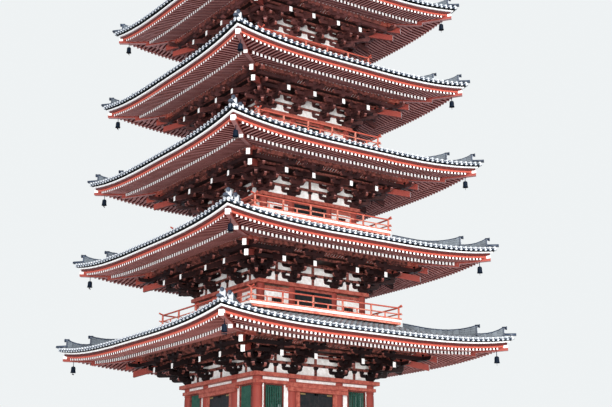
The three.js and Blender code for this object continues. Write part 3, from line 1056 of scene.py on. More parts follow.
@dataclass
class HipRidges(Assembly):
    """The stepped ridges on the four hips of one roof, with their end plates and horns."""

    form: RoofForm
    width: float = 0.15
    main_back: float = 0.715
    second_back: float = 0.138
    cap_length: float = 0.17
    horn_size: Triple = (1.3, 1.2, 1.3)

    def build(self) -> None:
        """Builds the ridges of one hip and turns them round the tower."""
        form = self.form
        self.start(f"hip_ridges_{form.storey.number}", 20 + form.storey.number)
        main_end = form.half - self.main_back
        second_end = form.half - self.second_back
        self._ridge(form.ridge_start, main_end, (0.11, 0.31), 0.95)
        self._ridge(main_end - 0.02, second_end, (0.06, 0.26), 0.57)
        self._corner_tile()
        self.finish("grey_tile")

    def _corner_tile(self) -> None:
        """Lays the stout round tile that points out over the corner of the eave."""
        form, points = self.form, self.kit.round_tile.points
        out = form.edge + 0.03 - (points[:, 1] + 0.5) * 0.30
        height = form.tile_top(out) + 0.015 + points[:, 2] * 1.25
        self.piece.lay(self.kit.round_tile, form.on_hip(points[:, 0] * 1.25, out, height), Paint.CAP)

    def _ridge(self, start: float, end: float, heights: Span, sweep: float) -> None:
        """Builds one ridge with its cap tiles, end plate and horn.

        Args:
            start: Where the ridge starts, as the half width of the square there.
            end: Where it ends.
            heights: Its height over the tiles along it and at its end.
            sweep: Length over which it rises to its end.
        """
        form, kit = self.form, self.kit
        low, high = heights

        def crest(out: Array) -> Array:
            """Height of the ridge over the tiles at a distance out."""
            share = np.clip((out - (end - sweep)) / sweep, 0.0, 1.0)
            return low + (high - low) * share**2.4

        count = max(2, round((end - start) * ROOT / self.cap_length))
        marks = np.linspace(end, start, count + 1)
        front, back = marks[:-1, None], marks[1:, None]
        points = kit.ridge_stack.points[None]
        out = front - (points[..., 1] + 0.5) * (front - back) * 0.985
        height = form.tile_top(out) - 0.06 + (points[..., 2] + 0.5) * (crest(out) + 0.02)
        placed = form.on_hip(points[..., 0] * self.width, out, height)
        self.piece.lay(kit.ridge_stack, placed, Paint.RIDGE)
        points = kit.round_tile.points[None]
        out = front - (points[..., 1] + 0.5) * (front - back)
        height = form.tile_top(out) + crest(out) - 0.045 + points[..., 2]
        self.piece.lay(kit.round_tile, form.on_hip(points[..., 0], out, height), Paint.CAP)
        top = form.tile_top(end) + form.lift(1.0, end)
        plate = kit.end_plate.points * [0.8, 1, (high + 0.03) / 0.24]
        place = [end + 0.012, -end - 0.012, top - 0.045]
        # The plate's face is laid in the light tile as painted light, the rest in the dark cap tile.
        self.piece.lay(kit.end_plate, turned(plate, 45, place), Paint.CAP, Paint.TILE)
        horn = kit.horn_tile.points * self.horn_size
        place = [end + 0.025, -end - 0.025, top + high - 0.02]
        self.piece.lay(kit.horn_tile, turned(horn, 45, place), Paint.CAP)


@dataclass
class Eaves(Assembly):
    """The rafter layer of one roof: eave boards, two tiers of rafters, hip rafters and bells."""

    form: RoofForm
    base_size: Span = (0.073, 0.114)
    base_drop: float = 0.012
    flying_size: Span = (0.060, 0.080)
    bell_back: float = 0.295
    bell_size: Triple = (1.2, 1.2, 1.04)

    def build(self) -> None:
        """Builds the eaves of one side and turns them round the tower."""
        number = self.form.storey.number
        self.start(f"rafters_{number}", 40 + number)
        self._boards()
        self._soffits()
        self._infill()
        self._rafters()
        self._hip_rafters()
        self.finish("shaded_red_timber", f"eaves_{number}")
        self.start(f"wind_bells_{number}", 60 + number)
        at = self.form.half - self.bell_back
        place = [at, -at, self.form.storey.corner - 0.300]
        bell = turned(self.kit.bell.points * self.bell_size, 45, place)
        self.piece.lay(self.kit.bell, bell, Paint.BELL)
        self.finish("bronze")

    def _boards(self) -> None:
        """Lays the boards that run along the eave, one above another."""
        half, board = self.form.half, self.form.board
        rows = (
            (half - 0.09, half, -0.028, 0.016, Paint.WHITE),
            # The dark-red board under the white one is dark as painted shade below the white board.
            (half - 0.17, half - 0.06, -0.100, -0.023, Paint.DARK_RED),
            (half - 0.20, half - 0.10, -0.154, -0.095, Paint.VERMILION),
            (half - 0.83, half - 0.742, -0.155, -0.133, Paint.DARK_RED),
        )
        stock = self.kit.long_board
        for back, front, low, high, paint in rows:
            points = fit(stock, [1, front - back, high - low], stretch="x")[0]
            out = (front + back) / 2 - points[:, 1]
            height = board + (low + high) / 2 + points[:, 2]
            self.piece.lay(stock, self.form.at(points[:, 0] * 2 * out, out, height), paint)

    def _soffits(self) -> None:
        """Lays the boards over the two tiers of rafters, near-black as painted shade between them."""
        form, points = self.form, self.kit.sheet.points
        over_base = self.base_size[1] - self.base_drop
        tiers = (
            (form.base_end, form.storey.column - 0.02, form.underside, over_base),
            (form.half - 0.12, form.half - 0.82, form.flying_foot, self.flying_size[1]),
        )
        for front, back, foot, rise in tiers:
            out = front - (points[:, 1] + 0.5) * (front - back)
            height = foot(out) + rise + (points[:, 2] + 0.5) * 0.02
            placed = form.at(points[:, 0] * 2 * out, out, height)
            self.piece.lay(self.kit.sheet, placed, Paint.BRACKET)

    def _infill(self) -> None:
        """Lays the white board that closes the gaps between the rafters over the purlin."""
        out = self.form.lift_from - 0.005
        foot = self.form.underside(out)
        reach = out - 0.012
        box = [-reach, reach, -out - 0.008, -out + 0.008, foot - 0.01, foot + self.base_size[1]]
        self.piece.blocks([box], Paint.WHITE)

    def _rafters(self) -> None:
        """Lays the base rafters and the flying rafters."""
        form, stock = self.form, self.kit.rafter
        wall = form.storey.column - 0.02
        tiers = (
            (form.base_end, wall, form.underside, self.base_drop, self.base_size),
            (form.flying_end, form.half - 0.80, form.flying_foot, 0.0, self.flying_size),
        )
        for end, inside, foot, drop, (wide, high) in tiers:
            x = evenly(int((end - 0.1) / RAFTER_PITCH), RAFTER_PITCH)
            x = x[np.abs(x[:, 0]) < end - 0.14]
            back = np.maximum(inside, np.abs(x) + 0.08)
            points = fit(stock, [wide, 1, high])
            out = end - (points[..., 1] + 0.5) * (end - back)
            height = foot(out) - drop + high / 2 + points[..., 2]
            axes = (x + points[..., 0], -out, height + form.lift(x / out, out))
            placed = np.stack(np.broadcast_arrays(*axes), axis=-1)
            # Dark sides and lighter undersides: painted shade on the sides, painted light on the
            # undersides.
            self.piece.lay(stock, placed, Paint.DARK_RED, Paint.WHITE, Paint.RAFTER)

    def _hip_rafters(self) -> None:
        """Lays the two hip rafters of one corner, with their painted ends."""
        form, stock = self.form, self.kit.rafter
        tiers = (
            (form.half - 0.045, form.half - 0.80, form.flying_foot, -0.060, 0.155, 0.135),
            (form.half - 0.740, form.storey.column + 0.3, form.underside, -0.075, 0.16, 0.125),
        )
        for end, inside, foot, low, high, wide in tiers:
            points = fit(stock, [wide, 1, high])[0]
            out = end - (points[:, 1] + 0.5) * (end - inside)
            height = foot(out) + low + high / 2 + points[:, 2]
            placed = form.on_hip(points[:, 0], out, height)
            # Sides in the shaded vermilion, undersides lighter: painted shade and painted light.
            self.piece.lay(stock, placed, Paint.SHADED, Paint.WHITE, Paint.RAFTER)
        points = fit(self.kit.squared, [0.147, 0.13, 0.085])[0]
        out = form.half - 0.095 - points[:, 1] / ROOT
        height = form.flying_foot(out) + 0.062 + points[:, 2]
        self.piece.lay(self.kit.squared, form.on_hip(points[:, 0], out, height), Paint.WHITE)


@dataclass
class Brackets(Assembly):
    """The stepped bracket sets of one storey with their wall band, tail rafters and purlin.

    Attributes:
        form: The roof over the storey.
        step: How far each of the two inner steps juts out.
        outer_step: How far out the third step and the eave purlin lie.
        arm_width: Width of a bracket arm.
        arm_height: Height of a bracket arm.
        block: Size of a bearing block.
        let_in: How deep a bearing block is let into its arm.
        reach: Half the length of an arm.
        step_reach: Half the length of an arm on the first step.
        room: Room between the plate and the rafters that the levels are given for.
        tiers: Levels of the three rows of arms over the plate.
        tail_slope: Slope of the tail rafters.
        tail_drop: Height of a tail rafter's end, under the rafters over the purlin.
        rib_pitch: Distance between the ribs of the cove.
    """

    form: RoofForm
    step: float = 0.36
    outer_step: float = 1.2
    arm_width: float = 0.088
    arm_height: float = 0.11
    block: Triple = (0.14, 0.14, 0.088)
    let_in: float = 0.012
    reach: float = 0.36
    step_reach: float = 0.25
    room: float = 0.956
    tiers: Triple = (0.12, 0.295, 0.50)
    tail_slope: float = 0.34
    tail_drop: float = 0.537
    rib_pitch: float = 0.10

    def build(self) -> None:
        """Builds the brackets of one side and corner and turns them round the tower."""
        storey = self.form.storey
        self.start(f"bracket_sets_{storey.number}", 80 + storey.number)
        self._wall_band()
        self._long_beams()
        self._cove()
        self._set(-storey.inner, 0)
        self._set(storey.inner, 0)
        self._set(-storey.column, -1)
        self._set(storey.column, 1)
        self._corner()
        self.finish("shaded_red_timber", f"brackets_{storey.number}")

    @property
    def _purlin_top(self) -> float:
        """Height of the rafters over the eave purlin."""
        return self.form.underside(self.form.storey.column + PURLIN_OUT)

    def _level(self, over: float) -> float:
        """Height of a level over the plate, fitted to the room under the rafters."""
        plate = self.form.storey.plate
        return plate + over * (self._purlin_top - plate) / self.room

    def _wall_band(self) -> None:
        """Builds the plastered band behind the brackets, its beams and its struts."""
        storey, level = self.form.storey, self._level
        column, plate = storey.column, storey.plate
        face, back, reach = -column, -column + 0.05, column + 0.055
        top = self.form.underside(column)
        self.piece.blocks([[-column, column, face - 0.02, back, plate, level(0.70)]], Paint.PLASTER)
        beams = [
            [-reach, reach, face - 0.05, back, level(0.30), level(0.39)],
            [-reach, reach, face - 0.05, back, level(0.685), level(0.76)],
            [-column, column, face - 0.03, back, level(0.755), top],
        ]
        self.piece.blocks(beams, Paint.BRACKET)
        side = (column + storey.inner) / 2
        bays = {1: (-side, 0, side), 2: (-side, 0, side), 3: (0,)}.get(storey.number, ())
        for x in bays:
            struts = [
                [x - 0.04, x + 0.04, face - 0.055, face, plate, level(0.22)],
                [x - 0.045, x + 0.045, face - 0.045, face, level(0.38), level(0.69)],
            ]
            self.piece.blocks(struts, Paint.BRACKET)
            self._blocks([(x, column + 0.02, level(0.215))])

    def _blocks(self, places: Sequence[Triple]) -> None:
        """Lays bearing blocks.

        Args:
            places: Each place along the wall, its distance out and the height of its foot.
        """
        centres = np.array([(x, -out, foot + self.block[2] / 2) for x, out, foot in places])
        points = self.kit.bearing_block.points * self.block + centres[:, None]
        self.piece.lay(self.kit.bearing_block, points, Paint.BRACKET)

    def _arm(self, low: float, high: float, out: float, foot: float) -> None:
        """Lays an arm along the wall.

        Args:
            low: Where it begins along the wall.
            high: Where it ends.
            out: Its distance out.
            foot: Height of its foot.
        """
        points = fit(self.kit.arm, [high - low, self.arm_width, self.arm_height])
        centre = [(low + high) / 2, -out, foot + self.arm_height / 2]
        # Arm ends in the lighter red: painted highlight.
        self.piece.lay(self.kit.arm, points + centre, Paint.BRACKET, Paint.RAFTER)

    def _jut(self, x: float, reach: float, foot: float, diagonal: bool = False) -> None:
        """Lays an arm that juts out from the wall.

        Args:
            x: Its place along the wall.
            reach: How far it juts out.
            foot: Height of its foot.
            diagonal: Whether it lies on the corner's diagonal.
        """
        column, length = self.form.storey.column, reach + 0.15
        y, turn = -column - reach + length / 2, 90
        if diagonal:
            x, turn = (column * ROOT + reach - length / 2) / ROOT, 135
            y = -x
        points = fit(self.kit.arm, [length, self.arm_width, self.arm_height])
        placed = turned(points, turn, [x, y, foot + self.arm_height / 2])
        # Arm ends in the lighter red: painted highlight.
        self.piece.lay(self.kit.arm, placed, Paint.BRACKET, Paint.RAFTER)

    def _set(self, x: float, corner: int) -> None:
        """Builds one bracket set.

        Args:
            x: The column's place along the wall.
            corner: -1 or 1 at the left or right corner column, 0 at an inner one.
        """
        column, plate, step = self.form.storey.column, self.form.storey.plate, self.step
        one, two, three = (self._level(tier) for tier in self.tiers)
        seat = self.arm_height - self.let_in

        def blocks_on(half: float) -> list[float]:
            """Places of the blocks on an arm, those over its ends first."""
            return [x + side * (half - 0.06) for side in (-1, 1) if side != corner] + [x]

        if corner >= 0:
            at = [x, -column, plate + 0.095]
            self.piece.stand(self.kit.bearing_block, [0.3, 0.3, 0.19], at, Paint.BRACKET)
        left = x - (self.reach if corner >= 0 else -0.1)
        right = x + (self.reach if corner <= 0 else -0.1)
        for foot in (one, three):
            self._arm(left, right, column, foot)
            self._blocks([(place, column, foot + seat) for place in blocks_on(self.reach)])
        self._jut(x, step + 0.06, one)
        self._jut(x, 2 * step + 0.06, two)
        self._jut(x, 2 * step + 0.02, three)
        steps = (
            (step, self._level(0.34), self.step_reach),
            (2 * step, three, self.reach),
            (self.outer_step, self._level(0.635), self.reach),
        )
        for out, foot, half in steps:
            left = x - half - (out + 0.06 if corner < 0 else 0)
            right = x + half + (out + 0.06 if corner > 0 else 0)
            self._arm(left, right, column + out, foot)
            places = blocks_on(half) + ([x + corner * out] if corner else [])
            self._blocks([(place, column + out, foot + seat) for place in places])
        self._blocks([(x, column + step, one + seat), (x, column + 2 * step, two + seat)])
        self._tail(x)
        self._blocks([(x, column + self.outer_step, self._level(0.55))])

    def _tail(self, x: float, diagonal: bool = False, over: float = 0.0) -> None:
        """Lays a tail rafter that slopes down and out, with its white end.

        Args:
            x: Its place along the wall, 0 on the diagonal.
            diagonal: Whether it lies on the corner's diagonal.
            over: How far it lies over the lower tail rafter.
        """
        stock, column = self.kit.rafter, self.form.storey.column
        # Regular tails take the near-black bracket paint; the diagonal ones a lighter red, as painted
        # light on the corners.
        stretch, turn, size, side = 1.0, 0, [0.112, 1, 0.160], Paint.BRACKET
        reach = 1.275 + 0.75 * over
        if diagonal:
            stretch, turn, size, side = ROOT, 45, [0.118, 1, 0.185], Paint.SHADED
            reach += 0.05
        points = fit(stock, size)
        out = reach - (points[..., 1] + 0.5) * (reach - 0.05)
        end = self._purlin_top - self.tail_drop + over
        height = end + self.tail_slope * (reach - out) + points[..., 2]
        flat = np.stack([points[..., 0], -(column + out) * stretch, height], axis=-1)
        self.piece.lay(stock, turned(flat, turn, [x, 0, 0]), side, Paint.WHITE, side)

    def _corner(self) -> None:
        """Builds what lies on the corner's diagonal."""
        stock, reach = self.kit.bearing_block, self.step * ROOT
        one, two, three = (self._level(tier) for tier in self.tiers)
        self._jut(0, reach + 0.08, one, diagonal=True)
        self._jut(0, 2 * reach + 0.08, two, diagonal=True)
        self._jut(0, 2 * reach + 0.04, three, diagonal=True)
        for out, foot in ((self.step, one), (2 * self.step, two)):
            at = self.form.storey.column + out
            place = [at, -at, foot + self.arm_height + self.block[2] / 2 - self.let_in]
            self.piece.lay(stock, turned(stock.points * self.block, 45, place), Paint.BRACKET)
        self._tail(0, diagonal=True)
        self._tail(0, diagonal=True, over=0.24)

    def _long_beams(self) -> None:
        """Lays the beams that tie the sets together and the purlin, whose ends are laid in a lighter
        red as painted light.
        """
        column, rows = self.form.storey.column, []
        beams = (
            (self.step, self._level(0.34) + 0.180, 0.06, 0.075),
            (2 * self.step, self._level(0.50) + 0.180, 0.07, 0.08),
            (self.outer_step, self._purlin_top - 0.130, 0.130, 0.13),
        )
        for out, foot, high, wide in beams:
            reach, y = column + out + 0.12, -column - out
            rows.append([-reach, reach, y - wide / 2, y + wide / 2, foot, foot + high])
        self.piece.blocks(rows, Paint.BRACKET)
        # Lighter red end pieces over the purlin's ends: painted light.
        left, right, front, back, foot, top = rows[-1]
        ends = [
            [start, end, front - LAP, back + LAP, foot - LAP, top]
            for start, end in ((left - LAP, left + 0.45), (right - 0.45, right + LAP))
        ]
        self.piece.blocks(ends, Paint.SHADED)

    def _cove(self) -> None:
        """Builds the ceiling behind the second step and the ribbed cove up to the purlin."""
        column, level = self.form.storey.column, self._level
        inner, outer = column + 0.93, column + 1.14
        low, high = level(0.80), level(0.90)
        boards = (
            (column, inner, level(0.74), low, 0.02, Paint.BOARD),
            (inner, outer, low, high, 0.015, Paint.PLASTER),
        )
        for back, front, foot, top, thick, paint in boards:
            points = fit(self.kit.long_board, [1, 1, thick], stretch="x")
            share = 0.5 - points[..., 1]
            out = back + share * (front - back)
            height = foot + share * (top - foot) + points[..., 2]
            placed = np.stack([points[..., 0] * 2 * out, -out, height], axis=-1)
            self.piece.lay(self.kit.long_board, placed, paint)
        x = evenly(int(inner / self.rib_pitch), self.rib_pitch)
        points = fit(self.kit.lath, [0.07, 1, 0.03])
        share = 0.5 - points[..., 1]
        out = inner + share * (outer - inner)
        height = low + share * (high - low) - 0.02 + points[..., 2]
        placed = np.stack(np.broadcast_arrays(x + points[..., 0], -out, height), axis=-1)
        self.piece.lay(self.kit.lath, placed, Paint.BRACKET)


@dataclass
class WallBay:
    """Frames, bars and plaster that fill the bays of a wall between its columns.

    Attributes:
        piece: The piece that they belong to.
        face: Distance of the wall's face from the axis.
        rim: Width of a window's frame.
        bars: Finish of a window's bars.
        shift: How far a window stands to the right of the middle of its bay.
    """

    piece: Bundle
    face: float
    rim: float = 0.057
    bars: Paint = Paint.GREEN
    shift: float = 0.0

    def window(self, middle: float, half: float, foot: float, head: float) -> None:
        """Fills a window opening with its frame and bars.

        Args:
            middle: The opening's middle along the wall.
            half: Half the opening's width.
            foot: Height of its sill.
            head: Height of its head.
        """
        rim, face, back = self.rim, -self.face, -self.face + 0.09
        low, high = middle - half, middle + half
        frame_boxes = [
            [low - rim, low + 0.005, face - 0.035, back, foot - rim, head + rim],
            [high - 0.005, high + rim, face - 0.035, back, foot - rim, head + rim],
            [low, high, face - 0.03, back, head - 0.005, head + rim],
            [low, high, face - 0.045, back, foot - rim, foot + 0.01],
        ]
        self.piece.blocks(frame_boxes, Paint.DARK_RED)
        count = max(4, round(2 * half / 0.062))
        x = low + (np.arange(count) + 0.5) * 2 * half / count
        lath = self.piece.kit.lath
        points = fit(lath, [0.032, 0.032, head - foot])
        centres = np.stack(np.broadcast_arrays(x, face + 0.02, (foot + head) / 2), axis=-1)
        self.piece.lay(lath, turned(points, 45, centres), self.bars)

    def panel(self, boxes: Sequence[Sequence[float]], deep: float) -> None:
        """Lays plaster of a thickness in panels given as x0, x1, z0 and z1."""
        rows = [[x0, x1, -self.face, -self.face + deep, z0, z1] for x0, x1, z0, z1 in boxes]
        self.piece.blocks(rows, Paint.PLASTER)

    def walled_window(self, bay: Span, window: Triple, levels: Span, deep: float) -> None:
        """Plasters a bay round a window.

        Args:
            bay: Where the bay begins and ends along the wall.
            window: Half the window's width, its sill and its head.
            levels: Foot and head of the bay.
            deep: Thickness of the wall.
        """
        half, foot, head = window
        middle = sum(bay) / 2 + self.shift
        low, high = middle - half, middle + half
        panels = [
            (min(bay), low, *levels),
            (high, max(bay), *levels),
            (low - 0.01, high + 0.01, levels[0], foot),
            (low - 0.01, high + 0.01, head, levels[1]),
        ]
        self.panel(panels, deep)
        self.window(middle, half, foot, head)


@dataclass
class UpperWalls(Assembly):
    """Walls of an upper storey: columns, beams, plastered bays, barred windows and doors."""

    storey: Storey
    radius: float = 0.125
    gap: float = 0.055
    beam: float = 0.095

    def build(self) -> None:
        """Builds the walls of one side and turns them round the tower."""
        storey = self.storey
        self.start(f"storey_walls_{storey.number}", 100 + storey.number)
        foot, plate_foot = storey.floor, storey.plate - PLATE_THICKNESS
        head = plate_foot - self.gap
        beam_foot = head - self.beam
        column, inner = storey.column, storey.inner
        size = [self.radius, self.radius, plate_foot - foot]
        for x in (-inner, inner, column):
            self.piece.stand(self.kit.column, size, [x, -column, foot], Paint.SHADED)
        reach = column + PLATE_OVERHANG
        lintel = plate_foot - 0.075
        boxes = [
            [-reach + LAP, reach - LAP, -reach, -column + 0.1, plate_foot, storey.plate],
            [-column, -inner, -column - 0.075, -column + 0.03, beam_foot, head],
            [inner, column, -column - 0.075, -column + 0.03, beam_foot, head],
            [-inner, inner, -column - 0.075, -column + 0.03, lintel, plate_foot + 0.01],
            [-column, column, -column - 0.09, -column + 0.03, foot, foot + 0.085],
        ]
        self.piece.blocks(boxes, Paint.SHADED)
        bay = WallBay(self.piece, column + 0.04, 0.02, Paint.DOOR)
        window = (0.14 * (column - inner), foot + 0.155, foot + 0.375)
        face = -column - 0.045
        for side in (-1, 1):
            ends = (side * (inner + 0.06), side * (column - 0.06))
            bay.walled_window(ends, window, (foot, plate_foot), 0.1)
            dark = [*sorted(ends), face, face + 0.1, head - 0.01, plate_foot + 0.01]
            self.piece.blocks([dark], Paint.BOARD)
        self._doors(foot, lintel)
        self.finish("plaster_wall", f"walls_{storey.number}")

    def _doors(self, foot: float, head: float) -> None:
        """Builds the closed double door of the middle bay with its frame.

        Args:
            foot: Height of the floor.
            head: Height of the lintel's foot.
        """
        column, half = self.storey.column, self.storey.inner - 0.190
        jamb = self.storey.inner - 0.06
        low, high = foot + 0.085, head - 0.030
        boxes = [
            [-jamb, -half, -column - 0.075, -column + 0.06, foot, head],
            [half, jamb, -column - 0.075, -column + 0.06, foot, head],
            [-jamb, jamb, -column - 0.060, -column + 0.06, high, head + 0.01],
        ]
        self.piece.blocks(boxes, Paint.DOOR)
        leaves, rails = [], []
        for side in (-1, 1):
            a, b = sorted((side * 0.004, side * half))
            leaves.append([a, b, -column - 0.01, -column + 0.03, low, high])
            for x0, x1, z0, z1 in (
                (a, a + 0.06, low, high),
                (b - 0.06, b, low, high),
                (a, b, low, low + 0.06),
                (a, b, high - 0.06, high),
                (a, b, (low + high) / 2 - 0.03, (low + high) / 2 + 0.03),
            ):
                rails.append([x0, x1, -column - 0.028, -column, z0, z1])
        self.piece.blocks(leaves, Paint.DOOR)
        self.piece.blocks(rails, Paint.DOOR)


@dataclass
class Balcony(Assembly):
    """Balcony of an upper storey: floor boards, edge boards and the waist frame under it."""

    storey: Storey
    form_below: RoofForm

    def build(self) -> None:
        """Builds the balcony of one side and turns it round the tower."""
        storey = self.storey
        self.start(f"balcony_boards_{storey.number}", 120 + storey.number)
        half, floor = storey.rail + FLOOR_OVERHANG, storey.floor
        count = round(2 * half / 0.16)
        marks = np.linspace(-half + 0.004, half - 0.004, count + 1)
        inside = storey.column - 0.3
        boards = []
        for a, b in zip(marks[:-1], marks[1:]):
            reach = max(inside, min(abs(a), abs(b)))
            boards.append([a + 0.002, b - 0.002, -half + 0.03, -reach, floor - 0.035, floor])
        boards = [row for row in boards if row[3] - row[2] > 0.02]
        self.piece.blocks(boards, Paint.BOARD, self.kit.lath)
        edge = [[-half + LAP, half - LAP, -half, -half + 0.05, floor - 0.08, floor - 0.002]]
        self.piece.blocks(edge, Paint.WHITE)
        reach, low, high = half - 0.017, floor - 0.155, floor - 0.086
        beam = [[-reach, reach, -half + 0.015, -half + 0.075, low, high]]
        self.piece.blocks(beam, Paint.VERMILION)
        self._waist(half - WAIST_BACK)
        self.finish("white_board", f"balcony_{storey.number}")

    def _waist(self, waist: float) -> None:
        """Builds the frame that carries the balcony, a beam along its face and its short joists.

        Args:
            waist: Half the width over the frame.
        """
        floor = self.storey.floor
        foot = self.form_below.tile_top(waist) - 0.35
        boxes = [
            [-waist + LAP, waist - LAP, -waist, -waist + 0.1, foot, floor - 0.04],
            [-waist - 0.02, waist + 0.02, -waist - 0.03, -waist, floor - 0.13, floor - 0.045],
        ]
        self.piece.blocks(boxes, Paint.DARK_RED)
        half = self.storey.rail + FLOOR_OVERHANG
        joists = [
            [x - 0.03, x + 0.03, -half + 0.06, -waist, floor - 0.095, floor - 0.038]
            for x in np.arange(-0.9, 0.95, 0.1) * waist
        ]
        self.piece.blocks(joists, Paint.DARK_RED)


@dataclass
class Railing(Assembly):
    """Railing of an upper storey: three rails that cross past the corners, posts and struts."""

    storey: Storey
    bays: int = 5

    def build(self) -> None:
        """Builds the railing of one side and turns it round the tower."""
        storey, kit = self.storey, self.kit
        self.start(f"balcony_railing_{storey.number}", 140 + storey.number)
        rail, floor = storey.rail, storey.floor
        y = -rail
        low_reach, mid_reach = rail + 0.10, rail + 0.13
        boxes = [
            [-low_reach, low_reach, y - 0.028, y + 0.028, floor + 0.002, floor + 0.055],
            [-mid_reach, mid_reach, y - 0.017, y + 0.017, floor + 0.168, floor + 0.204],
        ]
        self.piece.blocks(boxes, Paint.VERMILION)
        points = fit(kit.long_board, [1, 0.042, 0.042], stretch="x")[0]
        x = points[:, 0] * 2 * (rail + 0.14)
        bend = 0.06 * np.clip((np.abs(x) - rail + 0.1) / 0.24, 0, 1) ** 1.8
        placed = np.stack([x, points[:, 1] + y, points[:, 2] + floor + 0.381 + bend], axis=-1)
        self.piece.lay(kit.long_board, placed, Paint.VERMILION)
        marks = np.linspace(-rail, rail, self.bays + 1)
        posts = [
            [x - 0.025, x + 0.025, y - 0.025, y + 0.025, floor + 0.03, floor + 0.372]
            for x in marks[1:]
        ]
        struts = [
            [x - 0.0225, x + 0.0225, y - 0.015, y + 0.015, floor + 0.05, floor + 0.17]
            for x in (marks[1:] + marks[:-1]) / 2
        ]
        self.piece.blocks(posts + struts, Paint.VERMILION)
        studs = [
            [x - 0.016, x + 0.016, y - 0.034, y - 0.02, floor + z - 0.016, floor + z + 0.016]
            for x in marks
            for z in (0.03, 0.186)
        ]
        self.piece.blocks(studs, Paint.DOOR, kit.lath)
        self.finish("vermilion_timber", f"railing_{storey.number}")


@dataclass
class GroundStorey(Assembly):
    """Ground storey: four corners with barred windows, the crown over them and the doors."""

    storey: Storey
    radius: float = 0.150
    face: float = 2.100
    door_half: float = 0.600
    door_head: float = 2.485
    crown_foot: float = 2.590
    beam_foot: float = 2.660
    beam_top: float = 2.760

    def build(self) -> None:
        """Builds the storey's corners, crown and door leaves."""
        names = ("front_right", "back_right", "back_left", "front_left")
        for quarters, name in enumerate(names):
            self.start(f"corner_walls_{name}", 160 + quarters)
            self._corner()
            self.piece.turn(quarters)
            self.piece.build("vermilion_wall", f"ground_wall_{name}")
        self._crown()
        for quarters, side in enumerate(("front", "right", "back", "left")):
            for letter, hand in (("a", 1), ("b", -1)):
                self.start(f"door_leaf_{side}_{letter}", 170 + quarters)
                self._leaf(hand)
                self.piece.turn(quarters)
                node, body = f"door_{side}_{letter}", f"leaf_{side}_{letter}"
                self.piece.build("door_paint", node, body=body)

    def _corner(self) -> None:
        """Builds the corner at +X, -Y: three columns and two walls with a window each."""
        kit, radius = self.kit, self.radius
        column, inner = self.storey.column, self.storey.inner
        foot, head = self.storey.floor + 0.001, self.crown_foot
        for x, y in ((inner, -column), (column, -column), (column, -inner)):
            self.piece.stand(kit.column, [radius, radius, head - foot], [x, y, foot], Paint.SHADED)
            base = [radius + 0.06, radius + 0.06, 0.05]
            self.piece.stand(kit.stud, base, [x, y, foot], Paint.STONE)
        wall = Bundle(kit, "wall", 0)
        bay = WallBay(wall, self.face - 0.03, rim=0.028, shift=0.05)
        ends = (inner + 0.08, column - 0.06)
        window = (0.31, 1.545, self.beam_foot - 0.03)
        bay.walled_window(ends, window, (foot + 0.02, self.beam_foot), 0.12)
        front = -self.face - 0.045
        boxes = [
            [inner, column, front, -self.face + 0.10, foot, foot + 0.14],
            [inner, column, front, -self.face + 0.02, 1.33, 1.475],
            [self.door_half, inner - 0.07, -self.face - 0.03, -self.face + 0.12, foot + 0.05, head],
        ]
        wall.blocks(boxes, Paint.SHADED)
        self.piece.take(wall, mirrored=False)
        self.piece.take(wall, mirrored=True)

    def _crown(self) -> None:
        """Builds the head tie beam, column tops, deep boards over the doors and the plate."""
        storey = self.storey
        self.start("ground_beams", 165)
        column, inner = storey.column, storey.inner
        plate_foot = storey.plate - PLATE_THICKNESS
        size = [self.radius, self.radius, plate_foot - self.crown_foot]
        for x in (-inner, inner, column):
            self.piece.stand(self.kit.column, size, [x, -column, self.crown_foot], Paint.SHADED)
        reach = column + GROUND_PLATE_OVERHANG
        board = inner + self.radius + 0.085
        front = -column - self.radius
        wrap = column + self.radius + 0.01
        middle = (self.door_head + 2.72) / 2
        boxes = [
            [-reach + LAP, reach - LAP, -reach, -column + 0.1, plate_foot, storey.plate],
            [-wrap + LAP, wrap - LAP, -wrap, front + 0.09, self.beam_foot, self.beam_top],
            [-board, board, front - 0.04, front, self.door_head, middle - 0.002],
            [-board, board, front - 0.043, front, middle + 0.002, 2.72],
            [-board, board, front, -column, self.crown_foot, 2.715],
            [-0.6, 0.6, -self.face - 0.03, -column, self.door_head, self.crown_foot],
        ]
        self.piece.blocks(boxes, Paint.SHADED)
        bay = WallBay(self.piece, self.face - 0.01)
        bay.panel([(-column, column, self.beam_top - 0.01, plate_foot)], 0.1)
        self.finish("vermilion_timber", "ground_crown")

    def _leaf(self, hand: int) -> None:
        """Builds one door leaf for the front: framed panels, pivot and gilt fittings.

        Args:
            hand: 1 for the leaf hung on the right, -1 on the left.
        """
        kit, face = self.kit, -self.face
        low, high = 0.658, self.door_head - 0.008
        edge, meeting = self.door_half - 0.008, 0.004
        boxes = [[meeting + 0.002, edge - 0.002, face + 0.010, face + 0.045, low, high]]
        rails = (low, (low + high) / 2 - 0.035, high - 0.07)
        for z in rails:
            boxes.append([meeting, edge, face, face + 0.02, z, z + 0.07])
        for x in (meeting, edge - 0.07):
            boxes.append([x, x + 0.07, face, face + 0.02, low, high])
        straps = [
            [edge - 0.2, edge - 0.02, face - 0.004, face + 0.004, z + 0.012, z + 0.058]
            for z in rails
        ]
        pull = [[meeting + 0.012, meeting + 0.05, face - 0.004, face + 0.004, 1.5, 1.62]]

        def handed(rows: list[list[float]]) -> list[list[float]]:
            """Boxes of the right-hand leaf, mirrored for the left-hand one."""
            return rows if hand > 0 else [[-x1, -x0, *rest] for x0, x1, *rest in rows]

        self.piece.blocks(handed(boxes), Paint.DOOR)
        self.piece.blocks(handed(straps + pull), Paint.GILT, kit.lath)
        place = [hand * (edge - 0.010), face + 0.008, 0.6503]
        size = [0.008, 0.008, self.door_head - 0.6506]
        self.piece.stand(kit.column, size, place, Paint.GILT)


